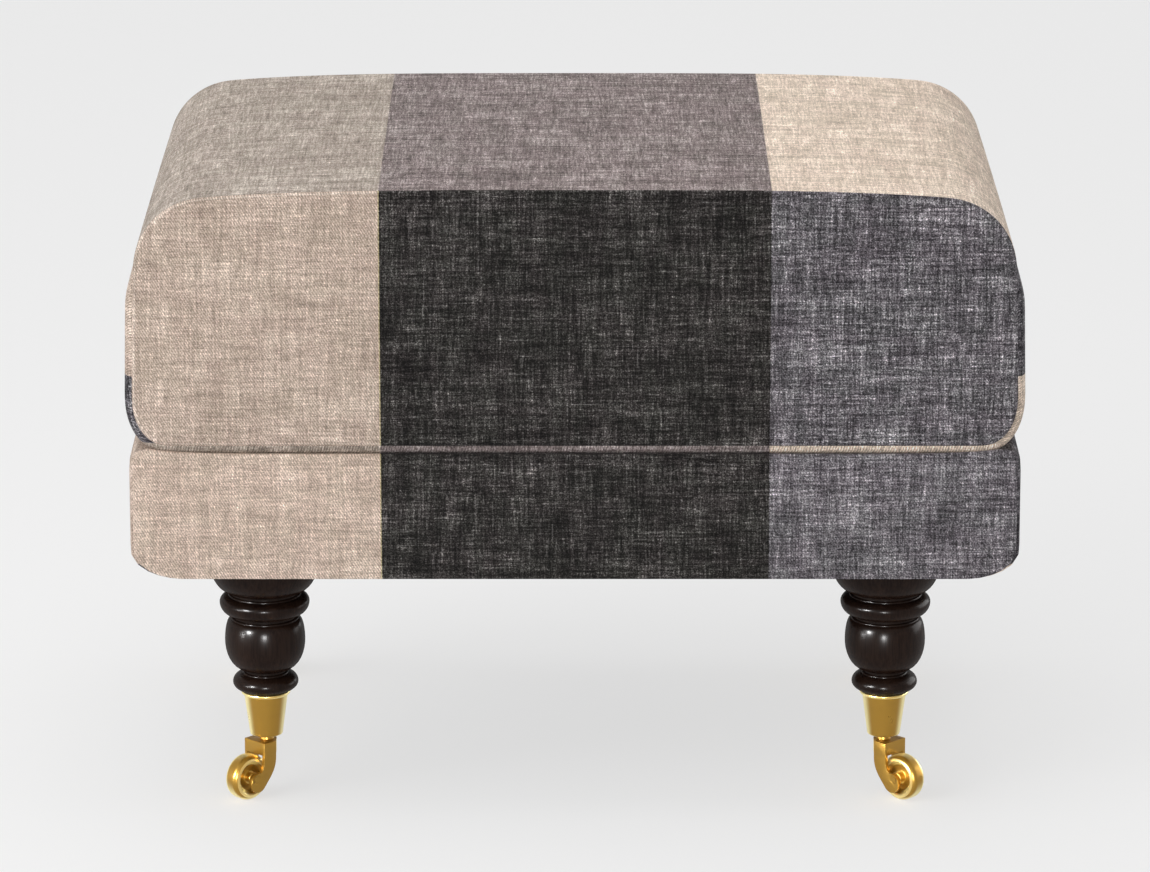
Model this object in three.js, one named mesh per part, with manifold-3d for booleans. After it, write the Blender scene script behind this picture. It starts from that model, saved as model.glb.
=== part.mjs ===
// Footstool: a box cushion on an upholstered base, with four turned legs on brass cup castors.
// Lengths are millimetres. +Z is up, the front faces -Y, and the origin is on the floor under the middle.
import * as THREE from 'three';
import { mergeVertices } from 'three/addons/utils/BufferGeometryUtils.js';
import Module from 'manifold-3d';

const wasm = await Module();
wasm.setup();

// Gap left between two pieces that touch
const seatGap = 0.3;
// How far a cutting tool runs past the face that it cuts
const overrun = 1;

// Heights of the whole stool
const baseBottom = 173.6;
const baseTop = 260.7;
const seatHeight = 445.5;
// Depth between the front and back seams, the same for base and cushion
const seamDepth = 375;

const cover = {
  thickness: 2,
  lip: 22,
};

const cushion = {
  overhang: 1.5,
  lean: 1.7,
  crown: 5.7,
  crownHandle_share: 0.62,
  shoulderRadius: 48.3,
  heelWidth: 21,
  heelHeight: 30,
  sagStart: 402,
  sagEnd: 356,
  sideSwell: 6,
  underSwell: 7.4,
  topFill: 1,
  sideFill: 2,
  panelDome: 4,
};

const base = {
  halfWidth: 297.5,
  lean: 3.5,
  shoulderRadius: 8,
  heelWidth: 26,
  heelHeight: 19,
  sideSwell: 4.6,
  sideFill: 1.5,
  panelDome: 2.5,
  topHemInset: 21.5,
  underHemInset: 35.5,
};

const rail = {
  thickness: 22,
  sideInset: 22.5,
  padThickness: 12,
  chamferWidth: 12,
  chamferHeight: 9,
};

const block = {
  reach: 115,
  height: 40,
  tip: 14,
};

const web = {
  width: 50,
  thickness: 1.5,
  crossCount: 4,
  crossMargin: 76,
  longCount: 2,
  longPitch: 112,
  slope: 24,
  endMargin: 4,
};

const deckPadThickness = 12;
const dustCloth = {
  thickness: 0.9,
  clearOfHem: 0.3,
};

const leg = {
  insetX: 82.6,
  insetY: 60,
  collarRadius: 38,
  collarTopRadius: 33.4,
  quirkRadius: 24,
  beadRadius: 31.3,
  waistRadius: 22.4,
  vaseRadius: 28,
  ankleRadius: 14.6,
  footRadius: 22.9,
  beadHeight: 17,
  vaseHeight: 39.8,
  footHeight: 15.7,
  beadBelly_share: 0.36,
  vaseBelly_share: 0.43,
  footBelly_share: 0.5,
  collarBelly_share: 0.18,
};

const bolt = {
  radius: 4,
  depthInLeg: 42,
  standOver: 4,
  pointHeight: 3,
};

const nut = {
  acrossFlats: 13,
  height: 6.5,
  sides: 6,
};

const castor = {
  turn: THREE.MathUtils.degToRad(45),
  trail: 18.8,
  wheelRadius: 16,
  wheelWidth: 12.6,
  treadCorner: 4,
  rimCrest: 12.2,
  rimRoll: 0.7,
  dishRadius: 9,
  webWidth: 4.4,
  hubRadius: 4.4,
  hubWidth: 14.6,
  axleRadius: 1.6,
  axleHeadRadius: 2.6,
  axleSink: 1,
  axleProud: 0.2,
  forkWidth: 20.6,
  armThickness: 2.6,
  crownBottom: 31,
  crownHeight: 7.4,
  crownRadius: 7,
  crownFront: 11.3,
  armRear: 0.5,
  armStraight: 9.4,
  lugRadius: 6.9,
  lugBehindAxle: 2,
  lugBelowAxle: 3.2,
  lugTopAngle: THREE.MathUtils.degToRad(100),
  lugRearAngle: THREE.MathUtils.degToRad(220),
  frontHandle: 4.5,
  lugHandle: 3,
  rearHandle: 10,
  lugRearHandle: 8,
  neckRadius: 5,
  neckHeight: 4.8,
  pinRadius: 3,
  pinHeadRadius: 4.8,
  pinHeadHeight: 1.6,
};

const cup = {
  height: 31.8,
  topRadius: 15.2,
  footRadius: 10.8,
  rimRadius: 16,
  rimHeight: 3.8,
  wall: 1.6,
  floor: 3,
  edge: 0.9,
};

// Places worked out from the sizes above
const railBottom = baseBottom + cover.thickness + 2 * seatGap;
const railTop = baseTop - deckPadThickness - 2 * (web.thickness + seatGap) - seatGap;
const railOuterY = seamDepth / 2 - seatGap - rail.padThickness - seatGap;
const railOuterX = base.halfWidth - rail.sideInset;
const railInnerX = railOuterX - rail.thickness;
const railInnerY = railOuterY - rail.thickness;
const topHemX = base.halfWidth - base.topHemInset;
const underHemX = base.halfWidth - base.underHemInset;
const legX = base.halfWidth - leg.insetX;
const legY = seamDepth / 2 - leg.insetY;
const crossPitch = 2 * (railInnerX - web.crossMargin) / (web.crossCount - 1);
const cushionHalfWidth = base.halfWidth + cushion.overhang;
const cushionBottom = baseTop + seatGap + cushion.underSwell;
const dustTop = railBottom - seatGap;
const dustBottom = dustTop - dustCloth.thickness;
const legTop = dustBottom - seatGap;
const boltHole = bolt.radius + seatGap;
const blockTop = railBottom + block.height;
const crownTop = castor.crownBottom + castor.crownHeight;
const cupBottom = crownTop + castor.neckHeight + seatGap;
const cupTop = cupBottom + cup.height;
const legFoot = cupTop + seatGap;

// Steps of the facets
const outlineSteps = { top: 5, shoulder: 7, side: 3, heel: 5, under: 2 };
const legSteps = { collar: 5, bead: 5, vase: 6, foot: 4 };
const turnedSteps = 18;
const wheelSteps = 24;
const smallSteps = 10;
const curveSteps = 6;
const treadSteps = 2;

const material = (color, roughness, metalness = 0) => (
  new THREE.MeshStandardMaterial({ color, roughness, metalness })
);
const materials = {
  linen: material(0x8d857c, 0.92),
  foam: material(0xe6dcc0, 0.95),
  wadding: material(0xf0eee8, 0.95),
  webbing: material(0x3f4a3c, 0.85),
  cloth: material(0x1c1c1d, 0.9),
  beech: material(0xcfa873, 0.7),
  walnut: material(0x2b1713, 0.35),
  brass: material(0xc49a3f, 0.2, 1),
  steel: material(0x9aa0a6, 0.4, 1),
};

// Turn the faces of a closed geometry outwards
function outward(geometry) {
  const position = geometry.getAttribute('position');
  const index = geometry.getIndex().array;
  const facet = [new THREE.Vector3(), new THREE.Vector3(), new THREE.Vector3()];
  let volume = 0;
  for (let i = 0; i < index.length; i += 3) {
    facet.forEach((point, k) => point.fromBufferAttribute(position, index[i + k]));
    volume += facet[0].dot(facet[1].clone().cross(facet[2]));
  }
  if (volume < 0) {
    geometry.setIndex(Array.from(index).reverse());
  }
  geometry.computeVertexNormals();
  return geometry;
}

// Join equal rings of points into a closed skin. A looped skin joins its last ring to its first,
// and any other has a flat cap on both ends.
function loft(rings, looped = false) {
  const count = rings[0].length;
  const points = rings.flat();
  const index = [];
  const spans = looped ? rings.length : rings.length - 1;
  for (let r = 0; r < spans; r += 1) {
    const here = r * count;
    const there = ((r + 1) % rings.length) * count;
    for (let i = 0; i < count; i += 1) {
      const j = (i + 1) % count;
      index.push(here + i, here + j, there + j);
      index.push(here + i, there + j, there + i);
    }
  }
  const cap = (ring, start, reversed) => {
    const flat = ring.map((p) => new THREE.Vector2(p.x, p.z));
    const turnedOver = THREE.ShapeUtils.isClockWise(flat) !== reversed;
    for (const [a, b, c] of THREE.ShapeUtils.triangulateShape(flat, [])) {
      index.push(start + a, start + (turnedOver ? c : b), start + (turnedOver ? b : c));
    }
  };
  if (!looped) {
    cap(rings[0], 0, true);
    cap(rings.at(-1), (rings.length - 1) * count, false);
  }
  const geometry = new THREE.BufferGeometry().setFromPoints(points);
  geometry.setIndex(index);
  return outward(geometry);
}

// Make a solid of a closed geometry, for a cut or a join
function solid(geometry) {
  const bare = geometry.clone();
  bare.deleteAttribute('normal');
  bare.deleteAttribute('uv');
  const merged = mergeVertices(bare);
  return new wasm.Manifold(new wasm.Mesh({
    numProp: 3,
    vertProperties: merged.getAttribute('position').array,
    triVerts: Uint32Array.from(merged.getIndex().array),
  }));
}

// Give a solid back as a geometry
function geometryOf(body) {
  const { vertProperties, triVerts } = body.getMesh();
  const geometry = new THREE.BufferGeometry();
  geometry.setAttribute('position', new THREE.BufferAttribute(vertProperties, 3));
  geometry.setIndex(Array.from(triVerts));
  geometry.computeVertexNormals();
  return geometry;
}

// Extrude a shape drawn in the XY plane upwards between two heights
function upright(shape, bottom, top, curveSegments = curveSteps) {
  const options = { depth: top - bottom, bevelEnabled: false, curveSegments };
  return new THREE.ExtrudeGeometry(shape, options).translate(0, 0, bottom);
}

// Extrude a shape drawn in the XZ plane between two places along Y
function alongY(shape, front, back, curveSegments = curveSteps) {
  return upright(shape, -back, -front, curveSegments).rotateX(Math.PI / 2);
}

// Revolve a profile of radius and height points about the Z axis
function turned(points, steps = turnedSteps) {
  const profile = points.map(([radius, height]) => new THREE.Vector2(radius, height));
  const geometry = mergeVertices(stripped(new THREE.LatheGeometry(profile, steps)));
  return outward(geometry.rotateX(Math.PI / 2));
}

function stripped(geometry) {
  geometry.deleteAttribute('normal');
  geometry.deleteAttribute('uv');
  return geometry;
}

function rectangle(left, right, low, high) {
  const shape = new THREE.Shape();
  shape.moveTo(left, low);
  shape.lineTo(right, low);
  shape.lineTo(right, high);
  shape.lineTo(left, high);
  shape.closePath();
  return shape;
}

function roundHole(x, y, radius) {
  return new THREE.Path().absarc(x, y, radius, 0, 2 * Math.PI);
}

// One half of a cover panel's outline, from the middle of the top round to the middle of the bottom.
// It holds points in the XZ plane as x and y.
function halfOutline(form, top, bottom) {
  const crown = form.crown ?? 0;
  const radius = form.shoulderRadius;
  const shoulderX = form.halfWidth - form.lean - radius;
  const shoulderZ = top - crown - radius;
  const heelX = form.halfWidth - form.heelWidth;
  const heelZ = bottom + form.heelHeight;
  const curves = [
    [new THREE.CubicBezierCurve(
      new THREE.Vector2(0, top),
      new THREE.Vector2(shoulderX * cushion.crownHandle_share, top),
      new THREE.Vector2(shoulderX - radius, top - crown),
      new THREE.Vector2(shoulderX, top - crown),
    ), outlineSteps.top],
    [new THREE.EllipseCurve(
      shoulderX, shoulderZ, radius, radius, Math.PI / 2, 0, true,
    ), outlineSteps.shoulder],
    [new THREE.LineCurve(
      new THREE.Vector2(shoulderX + radius, shoulderZ),
      new THREE.Vector2(form.halfWidth, heelZ),
    ), outlineSteps.side],
    [new THREE.EllipseCurve(
      heelX, heelZ, form.heelWidth, form.heelHeight, 0, -Math.PI / 2, true,
    ), outlineSteps.heel],
    [new THREE.LineCurve(
      new THREE.Vector2(heelX, bottom),
      new THREE.Vector2(0, bottom),
    ), outlineSteps.under],
  ];
  const points = curves.flatMap(([curve, steps]) => curve.getPoints(steps).slice(0, -1));
  points.push(new THREE.Vector2(0, bottom));
  return points;
}

// The whole outline, with the outward normal of each point
function wholeOutline(half) {
  const mirrored = half.slice(1, -1).reverse().map((p) => new THREE.Vector2(-p.x, p.y));
  const points = [...half, ...mirrored];
  return points.map((p, i) => {
    const before = points.at(i - 1);
    const after = points[(i + 1) % points.length];
    const along = after.clone().sub(before).normalize();
    return { x: p.x, z: p.y, normal: new THREE.Vector2(-along.y, along.x) };
  });
}

// How far the band stands out from its seams at an outline point: just behind a seam, and at mid-depth.
// The upper half is drawn tight over the foam, and the lower half sags out.
function cushionSwell(point) {
  const down = Math.max(-point.normal.y, 0);
  const sag = 1 - THREE.MathUtils.smoothstep(point.z, cushion.sagEnd, cushion.sagStart);
  return {
    edge: sag * THREE.MathUtils.lerp(cushion.sideSwell, cushion.underSwell, down),
    fill: THREE.MathUtils.lerp(cushion.topFill, (1 - down) * cushion.sideFill, sag),
  };
}

function baseSwell(point) {
  const level = Math.abs(point.normal.y);
  return {
    edge: (1 - level) * base.sideSwell,
    fill: (1 - level) * base.sideFill,
  };
}

// Places of the band's rings over the depth, as shares of the way from a seam to mid-depth, each with
// the share of the edge swell and of the fill that it has there
const outerRing_shares = [
  [0, 0, 0],
  [0.018, 0.62, 0],
  [0.07, 1, 0.1],
  [0.4, 1, 0.75],
  [1, 1, 1],
];
const innerRing_shares = [
  [0, 0, 0],
  [0.07, 1, 0.1],
  [1, 1, 1],
];

// Rings from the front seam to the back seam, inset from the outer face of the cover
function bandRings(outline, swell, ringShares, inset) {
  const front = ringShares.map(([place, edgePart, fillPart]) => ({
    y: -seamDepth / 2 * (1 - place), edgePart, fillPart,
  }));
  const back = front.slice(0, -1).reverse().map((ring) => ({ ...ring, y: -ring.y }));
  return [...front, ...back].map(({ y, edgePart, fillPart }) => outline.map((point) => {
    const { edge, fill } = swell(point);
    const out = edge * edgePart + fill * fillPart - inset;
    return new THREE.Vector3(point.x + point.normal.x * out, y, point.z + point.normal.y * out);
  }));
}

// Rings of a domed panel, from its rim to its middle, as shares of the outline's size
const domeRing_shares = [1, 0.93, 0.72, 0.36];

function domeRings(outline, middle, rimY, dome) {
  return domeRing_shares.map((size) => outline.map((point) => new THREE.Vector3(
    point.x * size,
    rimY - dome * (1 - size ** 2),
    middle + (point.z - middle) * size,
  )));
}

// A cover panel that bulges forwards from its rim, and its twin for the back
function coverPanel(outline, middle, dome) {
  const inner = domeRings(outline, middle, -seamDepth / 2 - seatGap, dome);
  const outer = domeRings(outline, middle, -seamDepth / 2 - seatGap - cover.thickness, dome);
  return loft([...inner.reverse(), ...outer]);
}

function turnedRound(geometry) {
  return geometry.clone().rotateZ(Math.PI);
}

// Cushion: foam core, a front and a back panel, and one band that runs right round between them
const cushionForm = { ...cushion, halfWidth: cushionHalfWidth };
const cushionOutline = wholeOutline(halfOutline(cushionForm, seatHeight, cushionBottom));
const cushionMiddle = (seatHeight + cushionBottom) / 2;

function cushionBand() {
  const outer = bandRings(cushionOutline, cushionSwell, outerRing_shares, 0);
  const inner = bandRings(cushionOutline, cushionSwell, innerRing_shares, cover.thickness);
  return loft([...outer, ...inner.reverse()], true);
}

function cushionCore() {
  const inset = cover.thickness + seatGap;
  const rings = bandRings(cushionOutline, cushionSwell, innerRing_shares, inset);
  const bulge = (ring, side) => domeRing_shares.slice(1).map((size) => ring.map((p) => new THREE.Vector3(
    p.x * size,
    side * (seamDepth / 2 + cushion.panelDome * (1 - size ** 2)),
    cushionMiddle + (p.z - cushionMiddle) * size,
  )));
  // Run from the back to the front, so that its facets lie along those of the band's inner face
  return loft([...bulge(rings[0], -1).reverse(), ...rings, ...bulge(rings.at(-1), 1)].reverse());
}

// Base cover: a front and a back panel, each with a lip turned under the rail, and a band on each side
const baseOutline = wholeOutline(halfOutline(base, baseTop, baseBottom));
const baseMiddle = (baseTop + baseBottom) / 2;

function basePanel() {
  const panel = solid(coverPanel(baseOutline, baseMiddle, base.panelDome));
  const front = -seamDepth / 2 - seatGap - cover.thickness / 2;
  const lipWidth = underHemX - seatGap;
  const lip = upright(
    rectangle(-lipWidth, lipWidth, front, -seamDepth / 2 + cover.lip),
    baseBottom,
    baseBottom + cover.thickness,
  );
  return geometryOf(panel.add(solid(lip)));
}

// The part of the base outline that the right-hand band covers, between its two hems
function sideOutline(topX, underX) {
  const right = baseOutline.filter((p) => p.x > 0 && p.normal.x > -0.5);
  const side = right.filter((p) => (p.z > baseMiddle ? p.x > topX : p.x > underX));
  const hem = (x, z, up) => ({ x, z, normal: new THREE.Vector2(0, up) });
  return [hem(topX, baseTop, 1), ...side, hem(underX, baseBottom, -1)];
}

function baseBand() {
  const side = sideOutline(topHemX, underHemX);
  const outer = bandRings(side, baseSwell, innerRing_shares, 0);
  const inner = bandRings(side, baseSwell, innerRing_shares, cover.thickness);
  return loft(outer.map((ring, i) => [...ring, ...inner[i].reverse()]));
}

function sidePad() {
  const face = railOuterX + seatGap;
  const inset = cover.thickness + seatGap;
  const side = sideOutline(face, face);
  const alongHeel = (face - (base.halfWidth - base.heelWidth)) / base.heelWidth;
  side.at(-1).z = baseBottom + base.heelHeight * (1 - Math.sqrt(1 - alongHeel ** 2));
  const rings = bandRings(side, baseSwell, innerRing_shares, inset);
  const shortened = (seamDepth / 2 - seatGap) / (seamDepth / 2);
  const shorter = (ring) => ring.map((p) => new THREE.Vector3(p.x, p.y * shortened, p.z));
  return loft(rings.map((ring) => shorter(ring).reverse()));
}

function endPad() {
  const front = -seamDepth / 2 + seatGap;
  return upright(
    rectangle(-railOuterX, railOuterX, front, front + rail.padThickness - seatGap),
    railBottom,
    baseTop - seatGap,
  );
}

function deckPad() {
  return upright(
    rectangle(-railOuterX, railOuterX, -railOuterY, railOuterY),
    baseTop - deckPadThickness,
    baseTop,
  );
}

function dustSheet() {
  const halfX = underHemX - dustCloth.clearOfHem;
  const halfY = seamDepth / 2 - cover.lip - dustCloth.clearOfHem;
  const shape = rectangle(-halfX, halfX, -halfY, halfY);
  for (const [sideX, sideY] of corners.map(({ sides }) => sides)) {
    shape.holes.push(roundHole(sideX * legX, sideY * legY, boltHole));
  }
  return upright(shape, dustBottom, dustTop);
}

// Frame: rails round the edge, and a block in each corner that a leg is bolted to
function sideRail() {
  const shape = new THREE.Shape();
  shape.moveTo(railInnerX, railBottom);
  shape.lineTo(railOuterX - rail.chamferWidth, railBottom);
  shape.lineTo(railOuterX, railBottom + rail.chamferHeight);
  shape.lineTo(railOuterX, railTop);
  shape.lineTo(railInnerX, railTop);
  shape.closePath();
  return alongY(shape, -railOuterY, railOuterY);
}

function frontRail() {
  const halfLength = railInnerX - seatGap;
  return upright(
    rectangle(-halfLength, halfLength, -railOuterY, -railInnerY),
    railBottom,
    railTop,
  );
}

function cornerBlock(sideX, sideY) {
  const cornerX = sideX * (railInnerX - seatGap);
  const cornerY = sideY * (railInnerY - seatGap);
  const shape = new THREE.Shape();
  shape.moveTo(cornerX, cornerY);
  shape.lineTo(cornerX - sideX * block.reach, cornerY);
  shape.lineTo(cornerX - sideX * block.reach, cornerY - sideY * block.tip);
  shape.lineTo(cornerX - sideX * block.tip, cornerY - sideY * block.reach);
  shape.lineTo(cornerX, cornerY - sideY * block.reach);
  shape.closePath();
  shape.holes.push(roundHole(sideX * legX, sideY * legY, boltHole));
  return upright(shape, railBottom, blockTop);
}

// Webbing: the long webs lie flat, and the cross webs pass over one and under the next
const webSeat = railTop + seatGap;
const webLift = web.thickness + seatGap;

function placesAbout(count, pitch) {
  return Array.from({ length: count }, (_, i) => (i - (count - 1) / 2) * pitch);
}

function longWeb(y) {
  const halfLength = railOuterX - web.endMargin;
  return upright(
    rectangle(-halfLength, halfLength, y - web.width / 2, y + web.width / 2),
    webSeat,
    webSeat + web.thickness,
  );
}

function crossWeb(x, order) {
  const end = railOuterY - web.endMargin;
  const line = [[-end, 0]];
  placesAbout(web.longCount, web.longPitch).forEach((y, i) => {
    const lift = (i + order) % 2 ? webLift : -webLift;
    line.push([y - web.width / 2 - web.slope, 0]);
    line.push([y - web.width / 2, lift]);
    line.push([y + web.width / 2, lift]);
    line.push([y + web.width / 2 + web.slope, 0]);
  });
  line.push([end, 0]);
  const shape = new THREE.Shape();
  line.forEach(([y, lift], i) => (i ? shape.lineTo(y, webSeat + lift) : shape.moveTo(y, webSeat + lift)));
  [...line].reverse().forEach(([y, lift]) => shape.lineTo(y, webSeat + lift + web.thickness));
  shape.closePath();
  const strip = upright(shape, -web.width / 2, web.width / 2);
  return strip.rotateX(Math.PI / 2).rotateZ(Math.PI / 2).translate(x, 0, 0);
}

// A swelling of a turned leg: from its top radius out to its belly and in to its bottom radius
function swelling(top, bottom, [topRadius, bellyRadius, bottomRadius], bellyShare, steps) {
  const bellyAt = THREE.MathUtils.lerp(top, bottom, bellyShare);
  const points = [];
  for (let i = 1; i <= steps; i += 1) {
    const height = THREE.MathUtils.lerp(top, bottom, (1 - Math.cos(Math.PI * i / steps)) / 2);
    const upper = height > bellyAt;
    const reach = upper ? (height - bellyAt) / (top - bellyAt) : (bellyAt - height) / (bellyAt - bottom);
    const endRadius = upper ? topRadius : bottomRadius;
    points.push([endRadius + (bellyRadius - endRadius) * Math.sqrt(Math.max(1 - reach ** 2, 0)), height]);
  }
  return points;
}

function cupInnerRadius(height) {
  const rise = (height - cupBottom) / cup.height;
  return THREE.MathUtils.lerp(cup.footRadius, cup.topRadius, rise) - cup.wall;
}

// Leg: collar, quirk, bead, vase and foot, turned in one piece with the spigot that fills the cup
function legTurning() {
  const footTop = legFoot + leg.footHeight;
  const vaseTop = footTop + leg.vaseHeight;
  const beadTop = vaseTop + leg.beadHeight;
  const spigotBottom = cupBottom + cup.floor + castor.pinHeadHeight + 2 * seatGap;
  const spigotTopRadius = cupInnerRadius(legFoot) - seatGap;
  return turned([
    [0, legTop - bolt.depthInLeg],
    [boltHole, legTop - bolt.depthInLeg],
    [boltHole, legTop],
    [leg.collarTopRadius, legTop],
    ...swelling(legTop, beadTop, [leg.collarTopRadius, leg.collarRadius, leg.quirkRadius],
      leg.collarBelly_share, legSteps.collar),
    ...swelling(beadTop, vaseTop, [leg.quirkRadius, leg.beadRadius, leg.waistRadius],
      leg.beadBelly_share, legSteps.bead),
    ...swelling(vaseTop, footTop, [leg.waistRadius, leg.vaseRadius, leg.ankleRadius],
      leg.vaseBelly_share, legSteps.vase),
    ...swelling(footTop, legFoot, [leg.ankleRadius, leg.footRadius, spigotTopRadius],
      leg.footBelly_share, legSteps.foot),
    [cupInnerRadius(spigotBottom) - seatGap, spigotBottom],
    [0, spigotBottom],
  ]);
}

function legBolt() {
  const bottom = legTop - bolt.depthInLeg + seatGap;
  const top = blockTop + seatGap + nut.height + bolt.standOver;
  return turned([
    [0, bottom],
    [bolt.radius / 2, bottom],
    [bolt.radius, bottom + bolt.pointHeight],
    [bolt.radius, top],
    [0, top],
  ], smallSteps);
}

function legNut() {
  const circumradius = nut.acrossFlats / Math.sqrt(3);
  const shape = new THREE.Shape();
  for (let i = 0; i < nut.sides; i += 1) {
    const angle = i * 2 * Math.PI / nut.sides;
    const corner = [circumradius * Math.cos(angle), circumradius * Math.sin(angle)];
    if (i) shape.lineTo(...corner);
    else shape.moveTo(...corner);
  }
  shape.closePath();
  shape.holes.push(roundHole(0, 0, boltHole));
  return upright(shape, blockTop + seatGap, blockTop + seatGap + nut.height);
}

// Cup: a tapered socket with a beaded rim, and a hole in its floor for the swivel pin
function castorCup() {
  const beadBottom = cupTop - cup.rimHeight;
  const floorTop = cupBottom + cup.floor;
  return turned([
    [castor.pinRadius + seatGap, cupBottom],
    [cup.footRadius - cup.edge, cupBottom],
    [cup.footRadius, cupBottom + cup.edge],
    [cup.topRadius, beadBottom],
    [cup.rimRadius, beadBottom + cup.edge],
    [cup.rimRadius, cupTop - cup.edge],
    [cup.rimRadius - cup.edge, cupTop],
    [cupInnerRadius(cupTop), cupTop],
    [cupInnerRadius(floorTop), floorTop],
    [castor.pinRadius + seatGap, floorTop],
    [castor.pinRadius + seatGap, cupBottom],
  ]);
}

// Swivel pin: riveted over above the cup's floor and below the fork's crown
function swivelPin() {
  const floorTop = cupBottom + cup.floor + seatGap;
  const crownFoot = castor.crownBottom - seatGap;
  return turned([
    [0, crownFoot - castor.pinHeadHeight],
    [castor.pinHeadRadius - castor.pinHeadHeight / 2, crownFoot - castor.pinHeadHeight],
    [castor.pinHeadRadius, crownFoot],
    [castor.pinRadius, crownFoot],
    [castor.pinRadius, floorTop],
    [castor.pinHeadRadius, floorTop],
    [castor.pinHeadRadius - castor.pinHeadHeight / 2, floorTop + castor.pinHeadHeight],
    [0, floorTop + castor.pinHeadHeight],
  ], smallSteps);
}

// Side outline of a horn arm, in trail and height: straight under the crown, then swept to a round lug
function hornArm() {
  const lugX = castor.trail - castor.lugBehindAxle;
  const lugZ = castor.wheelRadius - castor.lugBelowAxle;
  const onLug = (angle, along = 0) => [
    lugX + castor.lugRadius * Math.cos(angle) + along * Math.sin(angle),
    lugZ + castor.lugRadius * Math.sin(angle) - along * Math.cos(angle),
  ];
  const straightEnd = crownTop - castor.armStraight;
  const shape = new THREE.Shape();
  shape.moveTo(castor.armRear, crownTop);
  shape.lineTo(castor.crownFront, crownTop);
  shape.lineTo(castor.crownFront, straightEnd);
  shape.bezierCurveTo(
    castor.crownFront, straightEnd - castor.frontHandle,
    ...onLug(castor.lugTopAngle, -castor.lugHandle),
    ...onLug(castor.lugTopAngle),
  );
  shape.absarc(lugX, lugZ, castor.lugRadius, castor.lugTopAngle, castor.lugRearAngle, true);
  shape.bezierCurveTo(
    ...onLug(castor.lugRearAngle, castor.lugRearHandle),
    castor.armRear, straightEnd - castor.rearHandle,
    castor.armRear, straightEnd,
  );
  shape.closePath();
  return shape;
}

// Fork: a crown round the swivel pin, with two horn arms that sweep down and back to the axle
function castorFork() {
  const halfWidth = castor.forkWidth / 2;
  const shoulder = castor.crownRadius * Math.SQRT1_2;
  const plan = new THREE.Shape();
  plan.moveTo(castor.crownFront, -halfWidth);
  plan.lineTo(castor.crownFront, halfWidth);
  plan.lineTo(castor.armRear, halfWidth);
  plan.lineTo(-shoulder, shoulder);
  plan.absarc(0, 0, castor.crownRadius, 3 * Math.PI / 4, 5 * Math.PI / 4, false);
  plan.lineTo(castor.armRear, -halfWidth);
  plan.closePath();
  const crown = solid(upright(plan, castor.crownBottom, crownTop));
  const innerFace = halfWidth - castor.armThickness;
  const nearArm = solid(alongY(hornArm(), innerFace, halfWidth));
  const farArm = solid(alongY(hornArm(), -halfWidth, -innerFace));
  const neck = solid(turned([
    [0, castor.crownBottom + overrun],
    [castor.neckRadius, castor.crownBottom + overrun],
    [castor.neckRadius, crownTop + castor.neckHeight],
    [0, crownTop + castor.neckHeight],
  ], smallSteps));
  const swivelHole = solid(turned([
    [0, castor.crownBottom - overrun],
    [castor.pinRadius + seatGap, castor.crownBottom - overrun],
    [castor.pinRadius + seatGap, crownTop + castor.neckHeight + overrun],
    [0, crownTop + castor.neckHeight + overrun],
  ], smallSteps));
  const axleHole = solid(axleBar(seatGap, overrun));
  const whole = crown.add(nearArm).add(farArm).add(neck);
  return geometryOf(whole.subtract(swivelHole).subtract(axleHole));
}

// A bar across the fork, with a head sunk into each arm that stands proud of it by the given length
function axleBar(gap, proud) {
  const halfLength = castor.forkWidth / 2;
  const half = [
    [castor.axleRadius + gap, halfLength - castor.axleSink],
    [castor.axleHeadRadius + gap, halfLength],
    [castor.axleHeadRadius + gap, halfLength + proud],
    [0, halfLength + proud],
  ];
  const mirrored = [...half].reverse().map(([radius, place]) => [radius, -place]);
  const bar = turned([...mirrored, ...half], smallSteps);
  return bar.rotateX(Math.PI / 2).translate(castor.trail, 0, castor.wheelRadius);
}

// Wheel: a rounded tread, dished sides and a hub that stands out to the fork. One flat of its tread
// lies on the floor.
function castorWheel() {
  const halfWidth = castor.wheelWidth / 2;
  const bore = castor.axleRadius + seatGap;
  const corner = castor.treadCorner;
  const cornerRadius = castor.wheelRadius / Math.cos(Math.PI / wheelSteps) - corner;
  const half = [
    [bore, castor.hubWidth / 2],
    [castor.hubRadius, castor.hubWidth / 2],
    [castor.hubRadius, castor.webWidth / 2],
    [castor.dishRadius, castor.webWidth / 2],
    [castor.rimCrest - castor.rimRoll, halfWidth - castor.rimRoll],
  ];
  for (let i = 0; i <= treadSteps; i += 1) {
    const angle = Math.PI / 2 * (1 - i / treadSteps);
    half.push([cornerRadius + corner * Math.cos(angle), halfWidth - corner + corner * Math.sin(angle)]);
  }
  const mirrored = [...half].reverse().map(([radius, place]) => [radius, -place]);
  const wheel = turned([...half, ...mirrored, half[0]], wheelSteps).rotateZ(Math.PI / wheelSteps);
  return wheel.rotateX(Math.PI / 2).translate(castor.trail, 0, castor.wheelRadius);
}

function named(name, geometry, finish) {
  const mesh = new THREE.Mesh(geometry, finish);
  mesh.name = name;
  return mesh;
}

const corners = [
  { name: 'front_left', sides: [-1, -1] },
  { name: 'front_right', sides: [1, -1] },
  { name: 'back_left', sides: [-1, 1] },
  { name: 'back_right', sides: [1, 1] },
];

const stool = new THREE.Group();

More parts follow.
